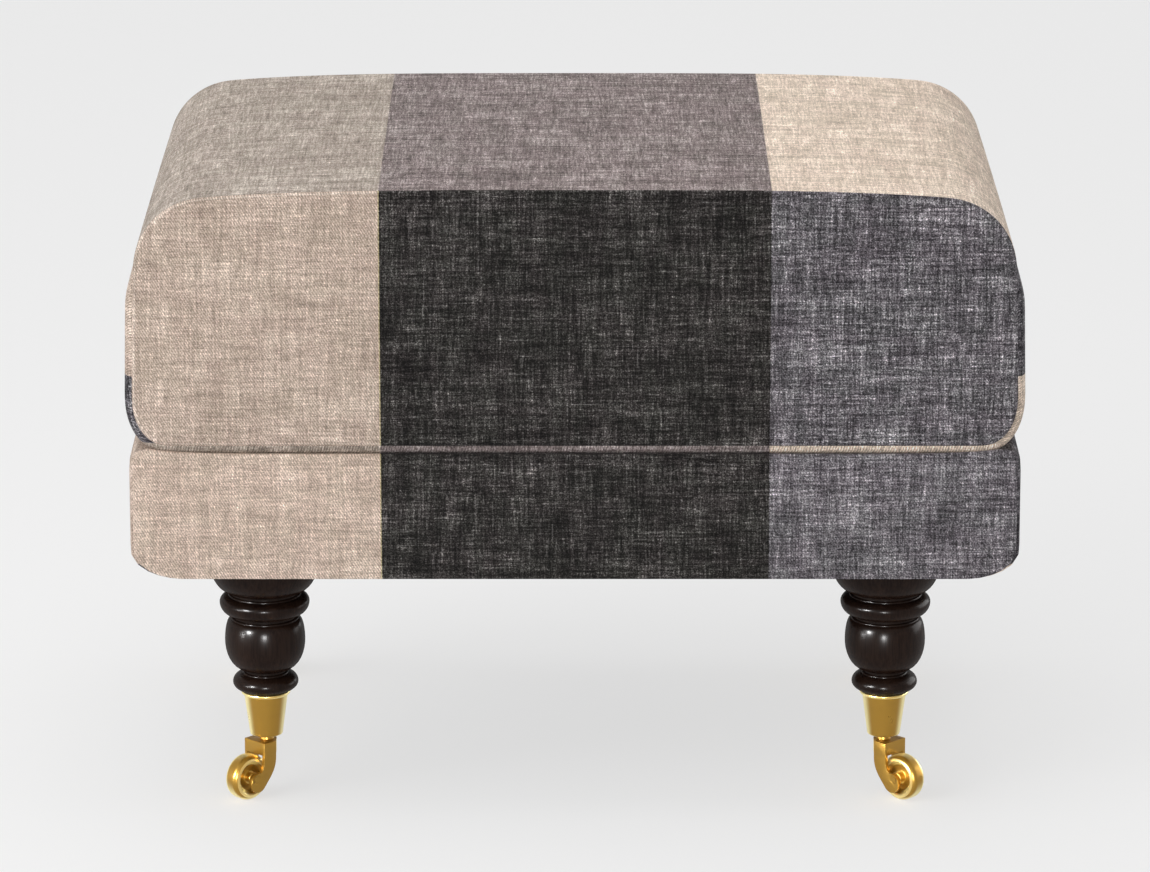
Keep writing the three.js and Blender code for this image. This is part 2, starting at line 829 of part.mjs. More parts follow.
// Upholstery
const bandShape = baseBand();
const padShape = sidePad();
const basePanelShape = basePanel();
const cushionPanelShape = coverPanel(cushionOutline, cushionMiddle, cushion.panelDome);
stool.add(
  named('cushion_foam', cushionCore(), materials.foam),
  named('cushion_band', cushionBand(), materials.linen),
  named('cushion_front_panel', cushionPanelShape, materials.linen),
  named('cushion_back_panel', turnedRound(cushionPanelShape), materials.linen),
  named('base_front_panel', basePanelShape, materials.linen),
  named('base_back_panel', turnedRound(basePanelShape), materials.linen),
  named('base_right_band', bandShape, materials.linen),
  named('base_left_band', turnedRound(bandShape), materials.linen),
  named('right_side_pad', padShape, materials.wadding),
  named('left_side_pad', turnedRound(padShape), materials.wadding),
  named('front_pad', endPad(), materials.wadding),
  named('back_pad', turnedRound(endPad()), materials.wadding),
  named('deck_pad', deckPad(), materials.foam),
  named('dust_cloth', dustSheet(), materials.cloth),
);

// Frame and webbing
stool.add(
  named('right_rail', sideRail(), materials.beech),
  named('left_rail', turnedRound(sideRail()), materials.beech),
  named('front_rail', frontRail(), materials.beech),
  named('back_rail', turnedRound(frontRail()), materials.beech),
);
placesAbout(web.longCount, web.longPitch).forEach((y, i) => {
  stool.add(named(`long_web_${i + 1}`, longWeb(y), materials.webbing));
});
placesAbout(web.crossCount, crossPitch).forEach((x, i) => {
  stool.add(named(`cross_web_${i + 1}`, crossWeb(x, i), materials.webbing));
});

// Legs and castors
for (const { name, sides: [sideX, sideY] } of corners) {
  stool.add(named(`corner_block_${name}`, cornerBlock(sideX, sideY), materials.beech));
  const station = new THREE.Group();
  station.position.set(sideX * legX, sideY * legY, 0);
  station.add(
    named(`leg_${name}`, legTurning(), materials.walnut),
    named(`leg_bolt_${name}`, legBolt(), materials.steel),
    named(`leg_nut_${name}`, legNut(), materials.steel),
    named(`cup_${name}`, castorCup(), materials.brass),
    named(`swivel_pin_${name}`, swivelPin(), materials.brass),
  );
  const swivel = new THREE.Group();
  swivel.rotation.z = Math.atan2(sideY * Math.cos(castor.turn), sideX * Math.sin(castor.turn));
  swivel.add(
    named(`fork_${name}`, castorFork(), materials.brass),
    named(`axle_${name}`, axleBar(0, castor.axleProud), materials.brass),
    named(`wheel_${name}`, castorWheel(), materials.brass),
  );
  station.add(swivel);
  stool.add(station);
}

export default stool;
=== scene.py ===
"""Looks of an upholstered footstool in check linen, on turned legs and brass cup castors."""

import math

import bmesh
import bpy
import numpy as np
from bpy.props import FloatProperty, FloatVectorProperty, PointerProperty
from mathutils import Matrix, Vector, kdtree, noise
from mathutils.geometry import delaunay_2d_cdt


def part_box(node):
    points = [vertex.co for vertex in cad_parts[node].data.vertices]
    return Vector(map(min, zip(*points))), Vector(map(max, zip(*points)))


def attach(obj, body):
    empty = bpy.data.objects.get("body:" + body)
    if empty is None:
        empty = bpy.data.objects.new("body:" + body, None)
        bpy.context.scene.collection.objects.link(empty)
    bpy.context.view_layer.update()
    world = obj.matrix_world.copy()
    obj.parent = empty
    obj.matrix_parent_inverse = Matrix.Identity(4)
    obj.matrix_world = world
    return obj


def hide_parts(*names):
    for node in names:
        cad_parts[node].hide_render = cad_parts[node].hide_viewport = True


bl_info = {
    "name": "Check Linen Footstool",
    "version": (1, 0, 0),
    "blender": (4, 5, 0),
    "location": "3D View > Sidebar > Footstool",
    "description": "Dresses a box cushion footstool on turned legs and brass castors",
    "category": "Object",
}

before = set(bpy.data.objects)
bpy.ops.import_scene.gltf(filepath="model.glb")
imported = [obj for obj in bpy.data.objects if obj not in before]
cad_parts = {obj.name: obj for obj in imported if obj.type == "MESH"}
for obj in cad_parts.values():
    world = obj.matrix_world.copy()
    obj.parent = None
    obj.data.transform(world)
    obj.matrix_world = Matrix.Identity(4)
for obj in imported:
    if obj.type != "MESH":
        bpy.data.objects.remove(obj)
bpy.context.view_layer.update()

MM = 0.001
CORNERS = {
    "front_left": (-1, -1),
    "front_right": (1, -1),
    "back_left": (-1, 1),
    "back_right": (1, 1),
}
STOOL_BODY = "stool"
BOLT_HOLE = 4.3 * MM  # radius of the holes for the leg bolts
PANEL_LIP = 2.1 * MM  # how far a panel stands out beyond its seam
RING_SHARES = (0.0, 0.0035, 0.009, 0.018, 0.03)  # rings of a band beside its seam, as shares of its depth
COLOUR_CHANGE = 0.4 * MM  # half the width of a change of colour
COVER_WIDE = 76  # steps across a cover's outline, on top and below
CUSHION_HIGH = 24  # steps down each side of the cushion's outline
BASE_HIGH = 12  # steps down each side of the base's outline
CUSHION_RINGS = 44  # even rings of the cushion's band
BASE_RINGS = 30  # even rings of the base's band
TOP_STEPS = 80  # points on half the top of an outline, before they are evened out
ARC_STEPS = 60  # points on an eighth of a turn of an outline, before they are evened out
BALLOON_MESH = 6 * MM  # size of the faces of the cover while it is inflated
BALLOON_TIME = 20  # steps that the inflated cover takes to come to rest
SEAM_HOLD = 5.5 * MM  # how near a seam the inflated cover is held
NEIGHBOURS = 8  # places on the inflated cover that each point of the cover follows
WEB_STEPS = 4  # faces across a web
LONG_ROWS = 61  # rows of points along a long web, which lies flat
CROSS_ROWS = 121  # rows of points along a cross web, which bends
DUST_STEP = 9 * MM  # size of the faces of the dust cloth
DUST_SAG = 3.2 * MM  # how far the dust cloth sags
HOLE_STEPS = 28  # points round a hole in the dust cloth
LARGE_ROUND = 96  # sides of the legs, cups and wheels
NECK_ROUND = 48  # sides of the forks' necks
SMALL_ROUND = 40  # sides of the pins, axles and their holes
SWELLING_STEPS = 16  # rings of one swelling of a turning
ROUNDING_STEPS = 4  # faces of a rounded corner
OVERLAP = 1 * MM  # how far joined pieces and cuts reach past a face
LEDGE = ((0.0, 1.4), (0.45, 1.4), (0.8, 1.58), (1.0, 1.9), (1.0, 2.3))  # rounded ledge, out and down


# Colours and lengths


def linear(red, green, blue):
    """A screen colour of 0 to 255, as the linear colour that a shader takes."""

    def channel(value):
        share = value / 255
        if share <= 0.04045:
            return share / 12.92
        return ((share + 0.055) / 1.055) ** 2.4

    return (channel(red), channel(green), channel(blue))


def length(label, hint, default):
    """A size in metres whose default is written in millimetres."""
    return FloatProperty(name=label, description=hint, default=default * MM, unit="LENGTH", precision=5)


def share(label, hint, default):
    return FloatProperty(name=label, description=hint, default=default, min=0.0, max=1.0, subtype="FACTOR")


def number(label, hint, default):
    return FloatProperty(name=label, description=hint, default=default)


def colour(label, hint, red, green, blue):
    return FloatVectorProperty(
        name=label,
        description=hint,
        default=linear(red, green, blue),
        size=3,
        min=0.0,
        max=1.0,
        subtype="COLOR",
    )


# Settings


class CushionSettings(bpy.types.PropertyGroup):
    """Sizes of the box cushion, whose panels are sewn to one band."""

    half_width: length("Half width", "Half the width of the front panel at its heel", 299)
    lean: length("Lean", "How far the sides lean in from the heel to the shoulder", 2.2)
    crown: length("Crown", "How far the top rises from the shoulders to its middle", 5.2)
    flatness: number("Flatness", "How long the top stays level before it falls to the shoulders", 3.7)
    shoulder: length("Shoulder radius", "Radius of the top corners", 50.0)
    heel_width: length("Heel width", "Width of the rounded bottom corners", 21)
    heel_height: length("Heel height", "Height of the rounded bottom corners", 32)
    top: length("Seat height", "Height of the top of the front seam", 445.5)
    bottom: length("Bottom seam", "Height of the bottom of the front seam", 268.4)
    seam_depth: length("Seam depth", "Depth between the front and back seams", 375)
    side_swell: length("Side swell", "How far the band sags out beside its seams", 6)
    under_swell: length("Under swell", "How far the band bags out under its seams", 8.4)
    side_fill: length("Side fill", "How much further the band stands out half way back", 1.2)
    top_fill: length("Top fill", "How far the band stands out on top half way back", 0.3)
    sag_start: length("Sag start", "Height below which the band sags", 397)
    sag_end: length("Sag end", "Height below which the band sags fully", 365)
    dome: length("Panel dome", "How far the front and back panels bulge", 2)
    swell_reach: length("Swell reach", "How far from a seam the filling first swells the cover fully", 26)
    panel_swell: length("Panel swell", "How far the filling swells the panels at most", 4)
    band_swell: length("Band swell", "How far the filling swells the band at most", 0.8)
    seam_round: length("Seam rounding", "Depth over which the band rounds out under its seams", 8.5)
    side_round: length("Side rounding", "Depth over which the band rounds out beside its seams", 12.5)
    fill: share("Fill", "How firmly the cushion is filled", 0.92)
    pressure: number("Pressure", "Pressure inside the cover while it is inflated", 4.0)


class BaseSettings(bpy.types.PropertyGroup):
    """Sizes of the upholstered base under the cushion."""

    half_width: length("Half width", "Half the width of the front panel at its heel", 300.2)
    lean: length("Lean", "How far the sides lean in from the heel to the shoulder", 0.2)
    shoulder: length("Shoulder radius", "Radius of the top corners", 9)
    corner_rise: length("Corner rise", "How far the top edge rises to its corners", 3.5)
    flatness: number("Flatness", "How long the top edge stays level before it rises", 12)
    heel_width: length("Heel width", "Width of the rounded bottom corners", 34)
    heel_height: length("Heel height", "Height of the rounded bottom corners", 20)
    top: length("Top", "Height of the top edge of the base, in front of and behind the cushion", 262)
    bottom: length("Bottom", "Height of the lower edge of the base", 173.6)
    seam_depth: length("Seam depth", "Depth between the front and back seams", 375)
    dip: length("Dip", "How far the cushion presses the top in behind its edge", 2.2)
    side_swell: length("Side swell", "How far the side bands stand out beside their seams", 2.6)
    side_fill: length("Side fill", "How much further they stand out half way back", 0.8)
    corner_swell: length("Corner swell", "How much further they stand out round the bottom corners", 1.8)
    dome: length("Panel dome", "How far the front and back panels bulge", 2.5)
    hem: length("Hem", "Width of the cover that is turned under the rails", 22)
    side_hem: length("Side hem", "Width of the side bands under the rails", 35.5)
    thickness: length("Thickness", "Thickness of the cover", 1.6)


class LinenSettings(bpy.types.PropertyGroup):
    """Colours and scale of the check linen."""

    beige: colour("Beige", "Front column on the left", 199, 178, 162)
    charcoal: colour("Charcoal", "Front column in the middle", 62, 59, 57)
    slate: colour("Slate", "Front column on the right", 116, 112, 117)
    taupe: colour("Taupe", "Top column on the left", 176, 163, 151)
    mauve: colour("Mauve", "Top column in the middle", 143, 130, 128)
    cream: colour("Cream", "Top column on the right", 229, 209, 190)
    shade: colour("Shade", "Dark cloth on the sides", 95, 92, 97)
    # Painted highlight: the pale colour along the ridge beside the panels' seams, on the beige column.
    ridge_highlight: colour("Ridge highlight", "Pressed edge of the panels beside their seams", 226, 210, 196)
    line: colour("Line", "Single pale thread beside the charcoal column", 202, 186, 136)
    column: length("Half column", "Half the width of the middle column", 131.7)
    top_reach: length("Top reach", "How far over the shoulder the top colours reach, round the band", 317)
    side_reach: length("Side reach", "Where the side's upper colour ends, round the band", 399.3)
    heel_change: length("Heel change", "Height where the cushion's side colours end under its heel", 269.4)
    base_change: length("Base change", "Height where the base's side bands change colour", 184)
    thread: length("Thread", "Width of one thread", 0.85)


class LegSettings(bpy.types.PropertyGroup):
    """Sizes and stain of the turned legs."""

    top: length("Top", "Height of the top of the collar", 174.7)
    collar_foot: length("Collar foot", "Height where the collar meets the bead", 148.1)
    bead_foot: length("Bead foot", "Height where the bead meets the vase", 131.1)
    vase_foot: length("Vase foot", "Height where the vase meets the foot", 91.3)
    foot: length("Foot", "Height where the foot meets the cup", 75.6)
    collar_top: length("Collar top radius", "Radius at the top of the collar", 33.4)
    collar: length("Collar radius", "Largest radius of the collar", 37.9)
    quirk: length("Quirk radius", "Radius of the notch between collar and bead", 24)
    bead: length("Bead radius", "Largest radius of the bead", 31.1)
    waist: length("Waist radius", "Radius of the notch between bead and vase", 22.4)
    vase: length("Vase radius", "Largest radius of the vase", 27.8)
    ankle: length("Ankle radius", "Radius of the notch between vase and foot", 14.6)
    foot_belly: length("Foot radius", "Largest radius of the foot", 22.7)
    spigot: length("Spigot radius", "Radius where the leg enters its cup", 13.2)
    dark: colour("Dark grain", "Dark streaks of the stained wood", 27, 16, 12)
    light: colour("Light grain", "Light streaks of the stained wood", 46, 32, 25)
    roughness: share("Roughness", "Roughness of the varnish", 0.24)


class CastorSettings(bpy.types.PropertyGroup):
    """Sizes and polish of the cup castors."""

    cup_top: length("Cup top", "Height of the cup's rim", 75.3)
    cup_bottom: length("Cup bottom", "Height of the cup's underside", 43.5)
    cup_radius: length("Cup radius", "Radius of the cup under its rim", 15.2)
    cup_foot: length("Cup foot radius", "Radius of the cup's underside", 11.3)
    rim_radius: length("Rim radius", "Radius of the cup's rim", 17)
    rim_height: length("Rim height", "Height of the cup's rim", 2.3)
    wall: length("Cup wall", "Thickness of the cup's wall", 1.6)
    cup_floor: length("Cup floor", "Thickness of the cup's floor", 3)
    trail: length("Trail", "How far the wheel trails behind the swivel", 18.8)
    wheel_radius: length("Wheel radius", "Radius of the wheel", 16)
    wheel_width: length("Wheel width", "Width of the wheel's tread", 12.6)
    tread_corner: length("Tread corner", "Rounding of the tread's corners", 4)
    rim_crest: length("Rim crest", "Radius of the crest of the wheel's rim", 12.2)
    dish: length("Dish radius", "Radius of the wheel's dished middle", 9)
    web_width: length("Web width", "Thickness of the wheel in its dish", 4.4)
    hub_radius: length("Hub radius", "Radius of the wheel's hub", 4.4)
    hub_width: length("Hub width", "Width of the wheel's hub", 14.6)
    arm_rear: length("Arm rear", "How far the arm's rear edge stands from the swivel's axis", 0.5)
    arm_straight: length("Arm straight", "Length of the straight part of the arm, from the crown's top", 11.0)
    lug_radius: length("Lug radius", "Radius of the round lug at the arm's end", 6.9)
    lug_behind: length("Lug behind axle", "How far the lug's middle lies behind the axle", 2)
    lug_below: length("Lug below axle", "How far the lug's middle lies below the axle", 3.2)
    axle_radius: length("Axle radius", "Radius of the axle", 1.6)
    axle_head: length("Axle head radius", "Radius of the axle's ends", 2.6)
    axle_sink: length("Axle sink", "Depth of the axle's conical ends", 1)
    fork_width: length("Fork width", "Width over both arms", 20.6)
    arm: length("Arm thickness", "Thickness of each arm", 2.6)
    crown_bottom: length("Crown bottom", "Height of the crown's underside", 31)
    crown_height: length("Crown height", "Thickness of the crown", 9.0)
    crown_radius: length("Crown radius", "Radius of the crown behind the swivel", 7)
    crown_front: length("Crown front", "How far the crown reaches towards the wheel", 11.3)
    neck_radius: length("Neck radius", "Radius of the neck under the cup", 5)
    neck_height: length("Neck height", "Height of the neck under the cup", 3.2)
    pin_radius: length("Pin radius", "Radius of the swivel pin", 3)
    pin_head: length("Pin head radius", "Radius of the swivel pin's heads", 4.8)
    pin_head_height: length("Pin head height", "Height of the swivel pin's heads", 1.6)
    gap: length("Gap", "Clearance round pins and axles", 0.3)
    edge: length("Edge", "Rounding of the brass edges", 0.45)
    metal: colour("Brass", "Colour of the polished brass with painted reflection", 168, 128, 46)
    # Painted reflection: the pale colour that the brass is painted where it turns away from the eye.
    glow: colour("Brass glow", "Colour of the brass where it turns away from the eye", 255, 240, 170)
    # Painted highlight: a paler brass painted on the cup's rim and the wheel's crest, where they catch the
    # light.
    bead: colour("Painted highlight brass", "Colour of the brass on the cup's rim and the wheel's crest", 222, 184, 104)
    roughness: share("Roughness", "Roughness of the polished brass with painted reflection", 0.28)


class StudioSettings(bpy.types.PropertyGroup):
    """Camera, floor and lamps."""

    lens: number("Lens", "Focal length on a 36 mm sensor", 185.1)
    distance: length("Distance", "How far in front of the stool's middle the camera stands", 4041.7)
    height: length("Height", "Height of the camera", 1345.7)
    pitch: number("Pitch", "How far the camera looks down, in degrees", 15.53)
    floor: colour("Floor", "Colour of the floor and the backdrop", 236, 236, 236)


SETTINGS = {
    "footstool_cushion": CushionSettings,
    "footstool_base": BaseSettings,
    "footstool_linen": LinenSettings,
    "footstool_leg": LegSettings,
    "footstool_castor": CastorSettings,
    "footstool_studio": StudioSettings,
}


# Node helpers


class Tree:
    """Adds nodes to a node tree and links them in one call each."""

    def __init__(self, tree):
        self.tree = tree

    def fill(self, node, inputs):
        """Links or sets the inputs of a node. A colour may be given without its alpha."""
        for name, value in inputs.items():
            socket = node.inputs[name]
            if isinstance(value, bpy.types.NodeSocket):
                self.tree.links.new(value, socket)
            elif socket.type == "RGBA":
                socket.default_value = (*value[:3], 1.0)
            else:
                socket.default_value = value

    def add(self, kind, inputs=None, **values):
        node = self.tree.nodes.new(kind)
        for name, value in values.items():
            setattr(node, name, value)
        self.fill(node, inputs or {})
        return node

    def math(self, operation, *values, clamp=False):
        inputs = dict(enumerate(values))
        return self.add("ShaderNodeMath", inputs, operation=operation, use_clamp=clamp).outputs[0]

    def mix(self, factor, a, b):
        return self.add("ShaderNodeMix", {0: factor, 6: a, 7: b}, data_type="RGBA").outputs[2]

    def scale(self, vector, factor):
        """A vector or a colour times a number."""
        return self.add("ShaderNodeVectorMath", {0: vector, "Scale": factor}, operation="SCALE").outputs[0]

    def vector_math(self, operation, a, b):
        return self.add("ShaderNodeVectorMath", {0: a, 1: b}, operation=operation).outputs[0]

    def ramp(self, value, low, high, smooth=True):
        """0 below low and 1 above high."""
        kind = "SMOOTHSTEP" if smooth else "LINEAR"
        inputs = {"Value": value, "From Min": low, "From Max": high}
        return self.add("ShaderNodeMapRange", inputs, interpolation_type=kind, clamp=True).outputs[0]

    def past(self, value, change):
        """0 before a change of colour and 1 past it."""
        return self.ramp(value, change - COLOUR_CHANGE, change + COLOUR_CHANGE)

    def noise(self, vector, scale, detail=2.0, roughness=0.5, seed=0.0):
        """Noise whose scale is given along each axis, in features per metre."""
        offset = (seed, seed * 0.37, seed * 0.71)
        placed = self.add("ShaderNodeVectorMath", {0: vector, 1: scale, 2: offset}, operation="MULTIPLY_ADD")
        inputs = {"Vector": placed.outputs[0], "Scale": 1.0, "Detail": detail, "Roughness": roughness}
        return self.add("ShaderNodeTexNoise", inputs, noise_dimensions="3D").outputs["Fac"]

    def vector(self, x, y, z=0.0):
        return self.add("ShaderNodeCombineXYZ", {"X": x, "Y": y, "Z": z}).outputs[0]

    def split(self, vector):
        return tuple(self.add("ShaderNodeSeparateXYZ", {0: vector}).outputs)

    def position(self):
        """The place on the piece, in metres."""
        return self.add("ShaderNodeTexCoord").outputs["Object"]

    def seen(self):
        """1 where the eye or a gloss meets the surface, and 0 for light that it spreads."""
        path = self.add("ShaderNodeLightPath").outputs
        return self.math("MAXIMUM", path["Is Camera Ray"], path["Is Glossy Ray"])

    def facing(self):
        """0 where the surface faces the eye and 1 where it turns away."""
        return self.add("ShaderNodeLayerWeight", {"Blend": 0.5}).outputs["Facing"]


def group(name, inputs, outputs):
    """A shader node group whose sockets are given by name and kind. Gives its tree helper, the sockets of its
    input node and those of its output node."""
    made = bpy.data.node_groups.new(name, "ShaderNodeTree")
    for in_out, sockets in (("INPUT", inputs), ("OUTPUT", outputs)):
        for label, kind in sockets.items():
            made.interface.new_socket(name=label, in_out=in_out, socket_type=f"NodeSocket{kind}")
    tree = Tree(made)
    return tree, made.nodes.new("NodeGroupInput").outputs, made.nodes.new("NodeGroupOutput").inputs


def finish_group(tree, results, sockets):
    for label, socket in results.items():
        tree.tree.links.new(socket, sockets[label])
    return tree.tree


def shared(name, builder):
    """The node group of that name, built the first time that it is asked for."""
    return bpy.data.node_groups.get(name) or builder(name)


# Shared effects


def weave_group(name):
    """Slubby linen: fine threads both ways, thicker slubs, broad uneven patches and a faint twill."""
    results = dict.fromkeys(("Threads", "Slubs", "Tint", "Twill", "Height"), "Float")
    tree, given, taken = group(name, {"Cloth": "Vector", "Thread": "Float"}, results)
    cloth = given["Cloth"]
    # Features per metre: across a thread and along it, then across a slub and along it
    fine = tree.math("DIVIDE", 1.0, given["Thread"])
    long, thick, stretch = (tree.math("MULTIPLY", fine, part) for part in (0.1, 0.58, 0.03))
    # Each layer of the weave with its weight: threads both ways, fuzz, slubs both ways, and uneven patches
    layers = [
        (tree.noise(cloth, tree.vector(fine, long), detail=1.0, seed=1.7), 0.4),
        (tree.noise(cloth, tree.vector(long, fine), detail=1.0, seed=5.3), 0.4),
        (tree.noise(cloth, tree.vector(fine, fine), detail=1.0, roughness=0.7, seed=9.1), 1.3),
        (tree.noise(cloth, tree.vector(thick, stretch), detail=2.0, seed=12.9), 0.62),
        (tree.noise(cloth, tree.vector(stretch, thick), detail=2.0, seed=17.3), 0.62),
        (tree.noise(cloth, (110.0, 16.0, 1.0), detail=3.0, roughness=0.62, seed=21.1), 0.42),
        (tree.noise(cloth, (16.0, 110.0, 1.0), detail=3.0, roughness=0.62, seed=27.7), 0.42),
        (tree.noise(cloth, (20.0, 20.0, 1.0), detail=3.0, seed=33.3), 0.22),
    ]
    total = 0.0
    for value, weight in layers:
        total = tree.math("MULTIPLY_ADD", value, weight, total)
    gain = 4.2
    level = tree.math("MULTIPLY_ADD", total, gain, -gain * 0.5 * sum(weight for _, weight in layers))
    warp, weft, slub_warp, slub_weft = (layers[k][0] for k in (0, 1, 3, 4))
    thread_height = tree.math("MAXIMUM", warp, weft)
    slub_height = tree.math("MAXIMUM", slub_warp, slub_weft)
    lift = tree.math("MULTIPLY_ADD", slub_height, 0.6, thread_height)
    flecks = tree.math("MULTIPLY", slub_height, thread_height)
    tint_warp = tree.noise(cloth, (90.0, 15.0, 1.0), detail=2.0, roughness=0.55, seed=41.9)
    tint_weft = tree.noise(cloth, (15.0, 90.0, 1.0), detail=2.0, roughness=0.55, seed=47.1)
    tint = tree.math("MULTIPLY", tree.math("ADD", tint_warp, tint_weft), 0.5)
    # The twill's ribs lie on a slant and are a little over two threads wide
    u, v, _ = tree.split(cloth)
    slanted = tree.math("MULTIPLY_ADD", v, 0.62, u)
    phase = tree.math("DIVIDE", slanted, tree.math("MULTIPLY", given["Thread"], 2.25))
    twill = tree.math("SINE", tree.math("MULTIPLY", phase, 2 * math.pi))
    results = {"Threads": level, "Slubs": flecks, "Tint": tint, "Twill": twill, "Height": lift}
    return finish_group(tree, results, taken)


def yarn_group(name):
    """Colours the weave: dark and light threads about one colour, light slubs, and a drift of tint."""
    colours = dict.fromkeys(("Colour", "Warm", "Cool"), "Color")
    levels = ("Threads", "Slubs", "Tint", "Twill", "Contrast", "Slub Light", "Tint Amount", "Twill Amount")
    tree, given, taken = group(name, {**colours, **dict.fromkeys(levels, "Float")}, {"Colour": "Color"})
    drift = tree.mix(tree.ramp(given["Tint"], 0.36, 0.64), given["Cool"], given["Warm"])
    base = tree.mix(given["Tint Amount"], given["Colour"], drift)
    even = tree.math("MULTIPLY_ADD", given["Contrast"], -0.2, given["Threads"])
    level = tree.math("MULTIPLY", even, given["Contrast"])
    level = tree.math("MULTIPLY_ADD", given["Twill"], given["Twill Amount"], level)
    shade = tree.scale(base, tree.math("POWER", 2.0, level))
    fleck = tree.math("MULTIPLY", tree.ramp(given["Slubs"], 0.38, 0.54), given["Slub Light"])
    slub_glow = (0.11, 0.105, 0.11)
    mixed = tree.mix(fleck, shade, tree.vector_math("ADD", shade, slub_glow))
    grey = tree.add("ShaderNodeRGBToBW", {0: mixed}).outputs[0]
    undyed = (1.0, 0.98, 0.96)
    plain = tree.scale(undyed, grey)
    bleached = tree.math("MULTIPLY", tree.ramp(level, -0.1, 0.9, smooth=False), 0.42)
    result = tree.mix(bleached, mixed, plain)
    return finish_group(tree, {"Colour": result}, taken)


def check_group(name):
    """Three woven columns across the cloth, with the threads interlacing at each change."""
    inputs = {"Across": "Float", "Half Column": "Float", "Left": "Color", "Middle": "Color", "Right": "Color"}
    tree, given, taken = group(name, inputs, {"Colour": "Color"})
    edge = 0.35 * MM
    negative = tree.math("MULTIPLY", given["Half Column"], -1.0)
    past_left = tree.ramp(tree.math("SUBTRACT", given["Across"], negative), -edge, edge)
    past_right = tree.ramp(tree.math("SUBTRACT", given["Across"], given["Half Column"]), -edge, edge)
    first = tree.mix(past_left, given["Left"], given["Middle"])
    return finish_group(tree, {"Colour": tree.mix(past_right, first, given["Right"])}, taken)


def wrap_group(name):
    """Place on the cloth of a band that runs over the top, round the shoulders and down the sides."""
    inputs = {"Position": "Vector", "Shoulder X": "Float", "Shoulder Z": "Float", "Radius": "Float"}
    tree, given, taken = group(name, inputs, {"Across": "Float"})
    x, _, z = tree.split(given["Position"])
    out = tree.math("ABSOLUTE", x)
    beyond = tree.math("SUBTRACT", out, given["Shoulder X"])
    above = tree.math("SUBTRACT", z, given["Shoulder Z"])
    corner = tree.math("ARCTAN2", tree.math("MAXIMUM", beyond, 0.0), tree.math("MAXIMUM", above, 0.0))
    flat = tree.math("MINIMUM", out, given["Shoulder X"])
    down = tree.math("MAXIMUM", tree.math("MULTIPLY", above, -1.0), 0.0)
    run = tree.math("ADD", tree.math("MULTIPLY_ADD", corner, given["Radius"], flat), down)
    return finish_group(tree, {"Across": tree.math("MULTIPLY", run, tree.math("SIGN", x))}, taken)


def new_material(name):
    """A material with only its output and surface shader. Gives the material, its tree helper and shader."""
    made = bpy.data.materials.new(name)
    made.use_nodes = True
    made.node_tree.nodes.clear()
    tree = Tree(made.node_tree)
    surface = tree.add("ShaderNodeBsdfPrincipled")
    output = tree.add("ShaderNodeOutputMaterial")
    made.node_tree.links.new(surface.outputs[0], output.inputs["Surface"])
    return made, tree, surface


def spoken(inputs):
    """Names of inputs as the nodes have them, with spaces for _."""
    return {label.replace("_", " "): value for label, value in inputs.items()}


def place(tree, name, builder, **inputs):
    """Puts a shared group in a material. Input names are written with _ for spaces."""
    node = tree.add("ShaderNodeGroup", node_tree=shared(name, builder))
    tree.fill(node, spoken(inputs))
    return node.outputs


def dress(tree, surface, shown, height, strength, depth, **inputs):
    """Gives the surface its colour, its relief and its other inputs."""
    bump = tree.add("ShaderNodeBump", {"Height": height, "Strength": strength, "Distance": depth})
    tree.fill(surface, {"Base Color": shown, "Normal": bump.outputs[0], **spoken(inputs)})


# Finishes


def tinted(value, red, green, blue):
    return (value[0] * red, value[1] * green, value[2] * blue)


def woven(tree, cloth, thread, shown, **inputs):
    """Weaves a colour. Gives the colour of the yarns and the height of the threads."""
    weave = place(tree, "linen weave", weave_group, Cloth=cloth, Thread=thread)
    threads = {label: weave[label] for label in ("Threads", "Slubs", "Tint", "Twill")}
    yarn = place(tree, "yarn colours", yarn_group, Colour=shown, **threads, **inputs)
    return yarn["Colour"], weave["Height"]


def columns(tree, settings, across_cloth, left, middle, right):
    """The three columns of the check."""
    check = place(
        tree, "check columns", check_group, Across=across_cloth, Half_Column=settings.column,
        Left=left, Middle=middle, Right=right,
    )
    return check["Colour"]


def side_colours(tree, settings, x, is_lower):
    """The cloth down the sides, in an upper and a lower colour for each side."""
    is_right = tree.math("GREATER_THAN", x, 0.0)
    upper = tree.mix(is_right, settings.beige, settings.shade)
    lower = tree.mix(is_right, settings.shade, settings.cream)
    return tree.mix(is_lower, upper, lower)


def panel_cloth(tree, settings, gain=1.0, pressed=0.0):
    """The front and back panels: three columns, with one pale thread beside the middle one. gain lightens
    the outer columns, which is painted light on the base's panels, and pressed is how far a painted highlight
    pales the beige column along the ridge beside the seam."""
    x, _, z = tree.split(tree.position())
    left, right = (tinted(value, gain, gain, gain) for value in (settings.beige, settings.slate))
    beside = tree.math("ABSOLUTE", tree.math("ADD", x, settings.column))
    on_line = tree.math("MULTIPLY", tree.ramp(beside, 0.62 * MM, 0.2 * MM), 0.7)
    shown = tree.mix(on_line, columns(tree, settings, x, left, settings.charcoal, right), settings.line)
    if pressed:
        # Painted highlight along the ridge beside the seam, on the beige column only.
        on_beige = tree.ramp(x, -settings.column, -settings.column - 1 * MM)
        shown = tree.mix(tree.math("MULTIPLY", on_beige, pressed), shown, settings.ridge_highlight)
    return tree.vector(x, z), shown


